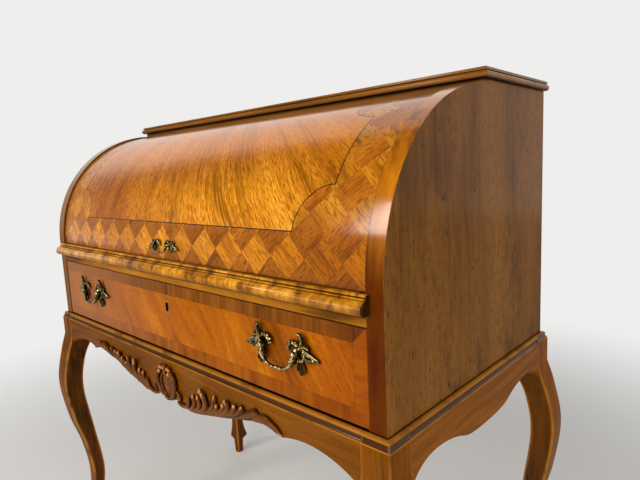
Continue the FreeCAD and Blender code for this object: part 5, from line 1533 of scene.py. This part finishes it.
# %% Bails
DRAWER_HALF_SPAN = 37.0
DRAWER_DROP = 27.0
DRAWER_BAR = 2.7
DRAWER_BOW = 6.0
LID_HALF_SPAN = 23.0
LID_DROP = 11.0
LID_BAR = 2.2
LID_BOW = 2.5
BOW_POWER = 1.3
NECK = ((-1.4, 4.0, 3.4), (-1.8, 1.0, 5.8), (-2.4, -2.5, 6.8), (-3.0, -5.2, 5.8), (-3.4, -6.6, 4.6),
        (-3.8, -7.8, 6.2), (-4.2, -9.2, 6.2), (-4.6, -10.4, 4.8), (-5.2, -11.8, 6.6), (-5.8, -13.4, 6.2),
        (-7.0, -16.0, 4.6), (-9.0, -19.0, 3.4))
BAR = ((0.68, 0.78, 1.05), (0.54, 0.90, 0.95), (0.37, 0.97, 0.92), (0.22, 1.0, 1.1), (0.13, 1.0, 0.92),
       (0.0, 1.0, 1.1))


def cast_bail(half, fall, stand, thick, neck_scale, bow):
    """The bail: a turned neck that leans in, a bend and a bar that swells twice; its mirror image closes it.

    Each row is across, up, proud of the pivot and radius; the bow grows with the depth under the pivot. The
    bar's rows are shares of the half span, of the fall and of the thickness.
    """
    neck = [(half + x * neck_scale, z * neck_scale, r * neck_scale) for x, z, r in NECK]
    rows = neck + [(x * half, -z * fall, r * thick) for x, z, r in BAR]
    there = [(x, z, stand + bow * min(1.0, max(0.0, -z / fall)) ** BOW_POWER, r, r) for x, z, r in rows]
    back = [(-x, *row) for x, *row in there[-2::-1]]
    return limb(there + back, steps=210, sides=20, tips=(0.015, 0.015))


print("bails", 2 * DRAWER_HALF_SPAN, "and", 2 * LID_HALF_SPAN, "mm wide")

# %% Handles on drawer and lid
JOINTS = {joint["name"]: joint for joint in frame["joints"]}
DRAWER_Y = FRONT_LO.y
NECK_BACK = 3.5
LID_CAST_SCALE = 0.72
LID_NECK_SCALE = 0.45


def drawer_handle(side):
    """Two mirrored mounts on the drawer and the bail between them, placed by the grip's own joint."""
    pivot = Vector(JOINTS["grip_%s_swing" % side]["pos_m"])
    stand = (DRAWER_Y - pivot.y) / MM
    shells = cast_wing() + cast_curl() + cast_middle(stand) + cast_upright()
    mounts = [set_on_front(shell, pivot.x + end * DRAWER_HALF_SPAN * MM, DRAWER_Y, pivot.z, end)
              for end in (1, -1) for shell in shells]
    piece("cast_mounts_" + side, mounts, cast_brass, "drawer", ["handle_mounts_" + side])
    grip = cast_bail(DRAWER_HALF_SPAN, DRAWER_DROP, stand - NECK_BACK, DRAWER_BAR, 1.0, DRAWER_BOW)
    bail = set_on_front(grip, pivot.x, DRAWER_Y, pivot.z)
    piece("cast_bail_" + side, [bail], cast_brass, "grip_" + side, ["bail_" + side])


def set_on_lid(shell, x, tilt, way=1, scale=1.0):
    """Ornament on the round of the lid: up runs round the cylinder and proud is away from its axis."""
    points, faces, rubbed = shell
    across, up, proud = (points * scale * MM).T
    out = LID_R + proud
    y = AXIS_Y - out * cos(tilt) + up * sin(tilt)
    z = AXIS_Z + out * sin(tilt) + up * cos(tilt)
    return np.column_stack((x + way * across, y, z)), faces, rubbed


def lid_handle():
    """The same mounts, smaller, on the round of the lid, and a bail at its joint's angle and radius."""
    pivot = Vector(JOINTS["lid_grip_swing"]["pos_m"])
    tilt = atan2(pivot.z - AXIS_Z, AXIS_Y - pivot.y)
    stand = (hypot(pivot.z - AXIS_Z, AXIS_Y - pivot.y) - LID_R) / MM
    shells = cast_wing() + cast_curl() + cast_middle(stand / LID_CAST_SCALE)
    mounts = [set_on_lid(shell, end * LID_HALF_SPAN * MM, tilt, end, LID_CAST_SCALE)
              for end in (1, -1) for shell in shells]
    piece("lid_cast_mounts", mounts, cast_brass, "lid", ["lid_handle_mounts"])
    grip = cast_bail(LID_HALF_SPAN, LID_DROP, stand, LID_BAR, LID_NECK_SCALE, LID_BOW)
    bail = set_on_lid(grip, 0.0, tilt)
    piece("lid_cast_bail", [bail], cast_brass, "lid_grip", ["lid_bail"])


drawer_handle("right")
drawer_handle("left")
lid_handle()
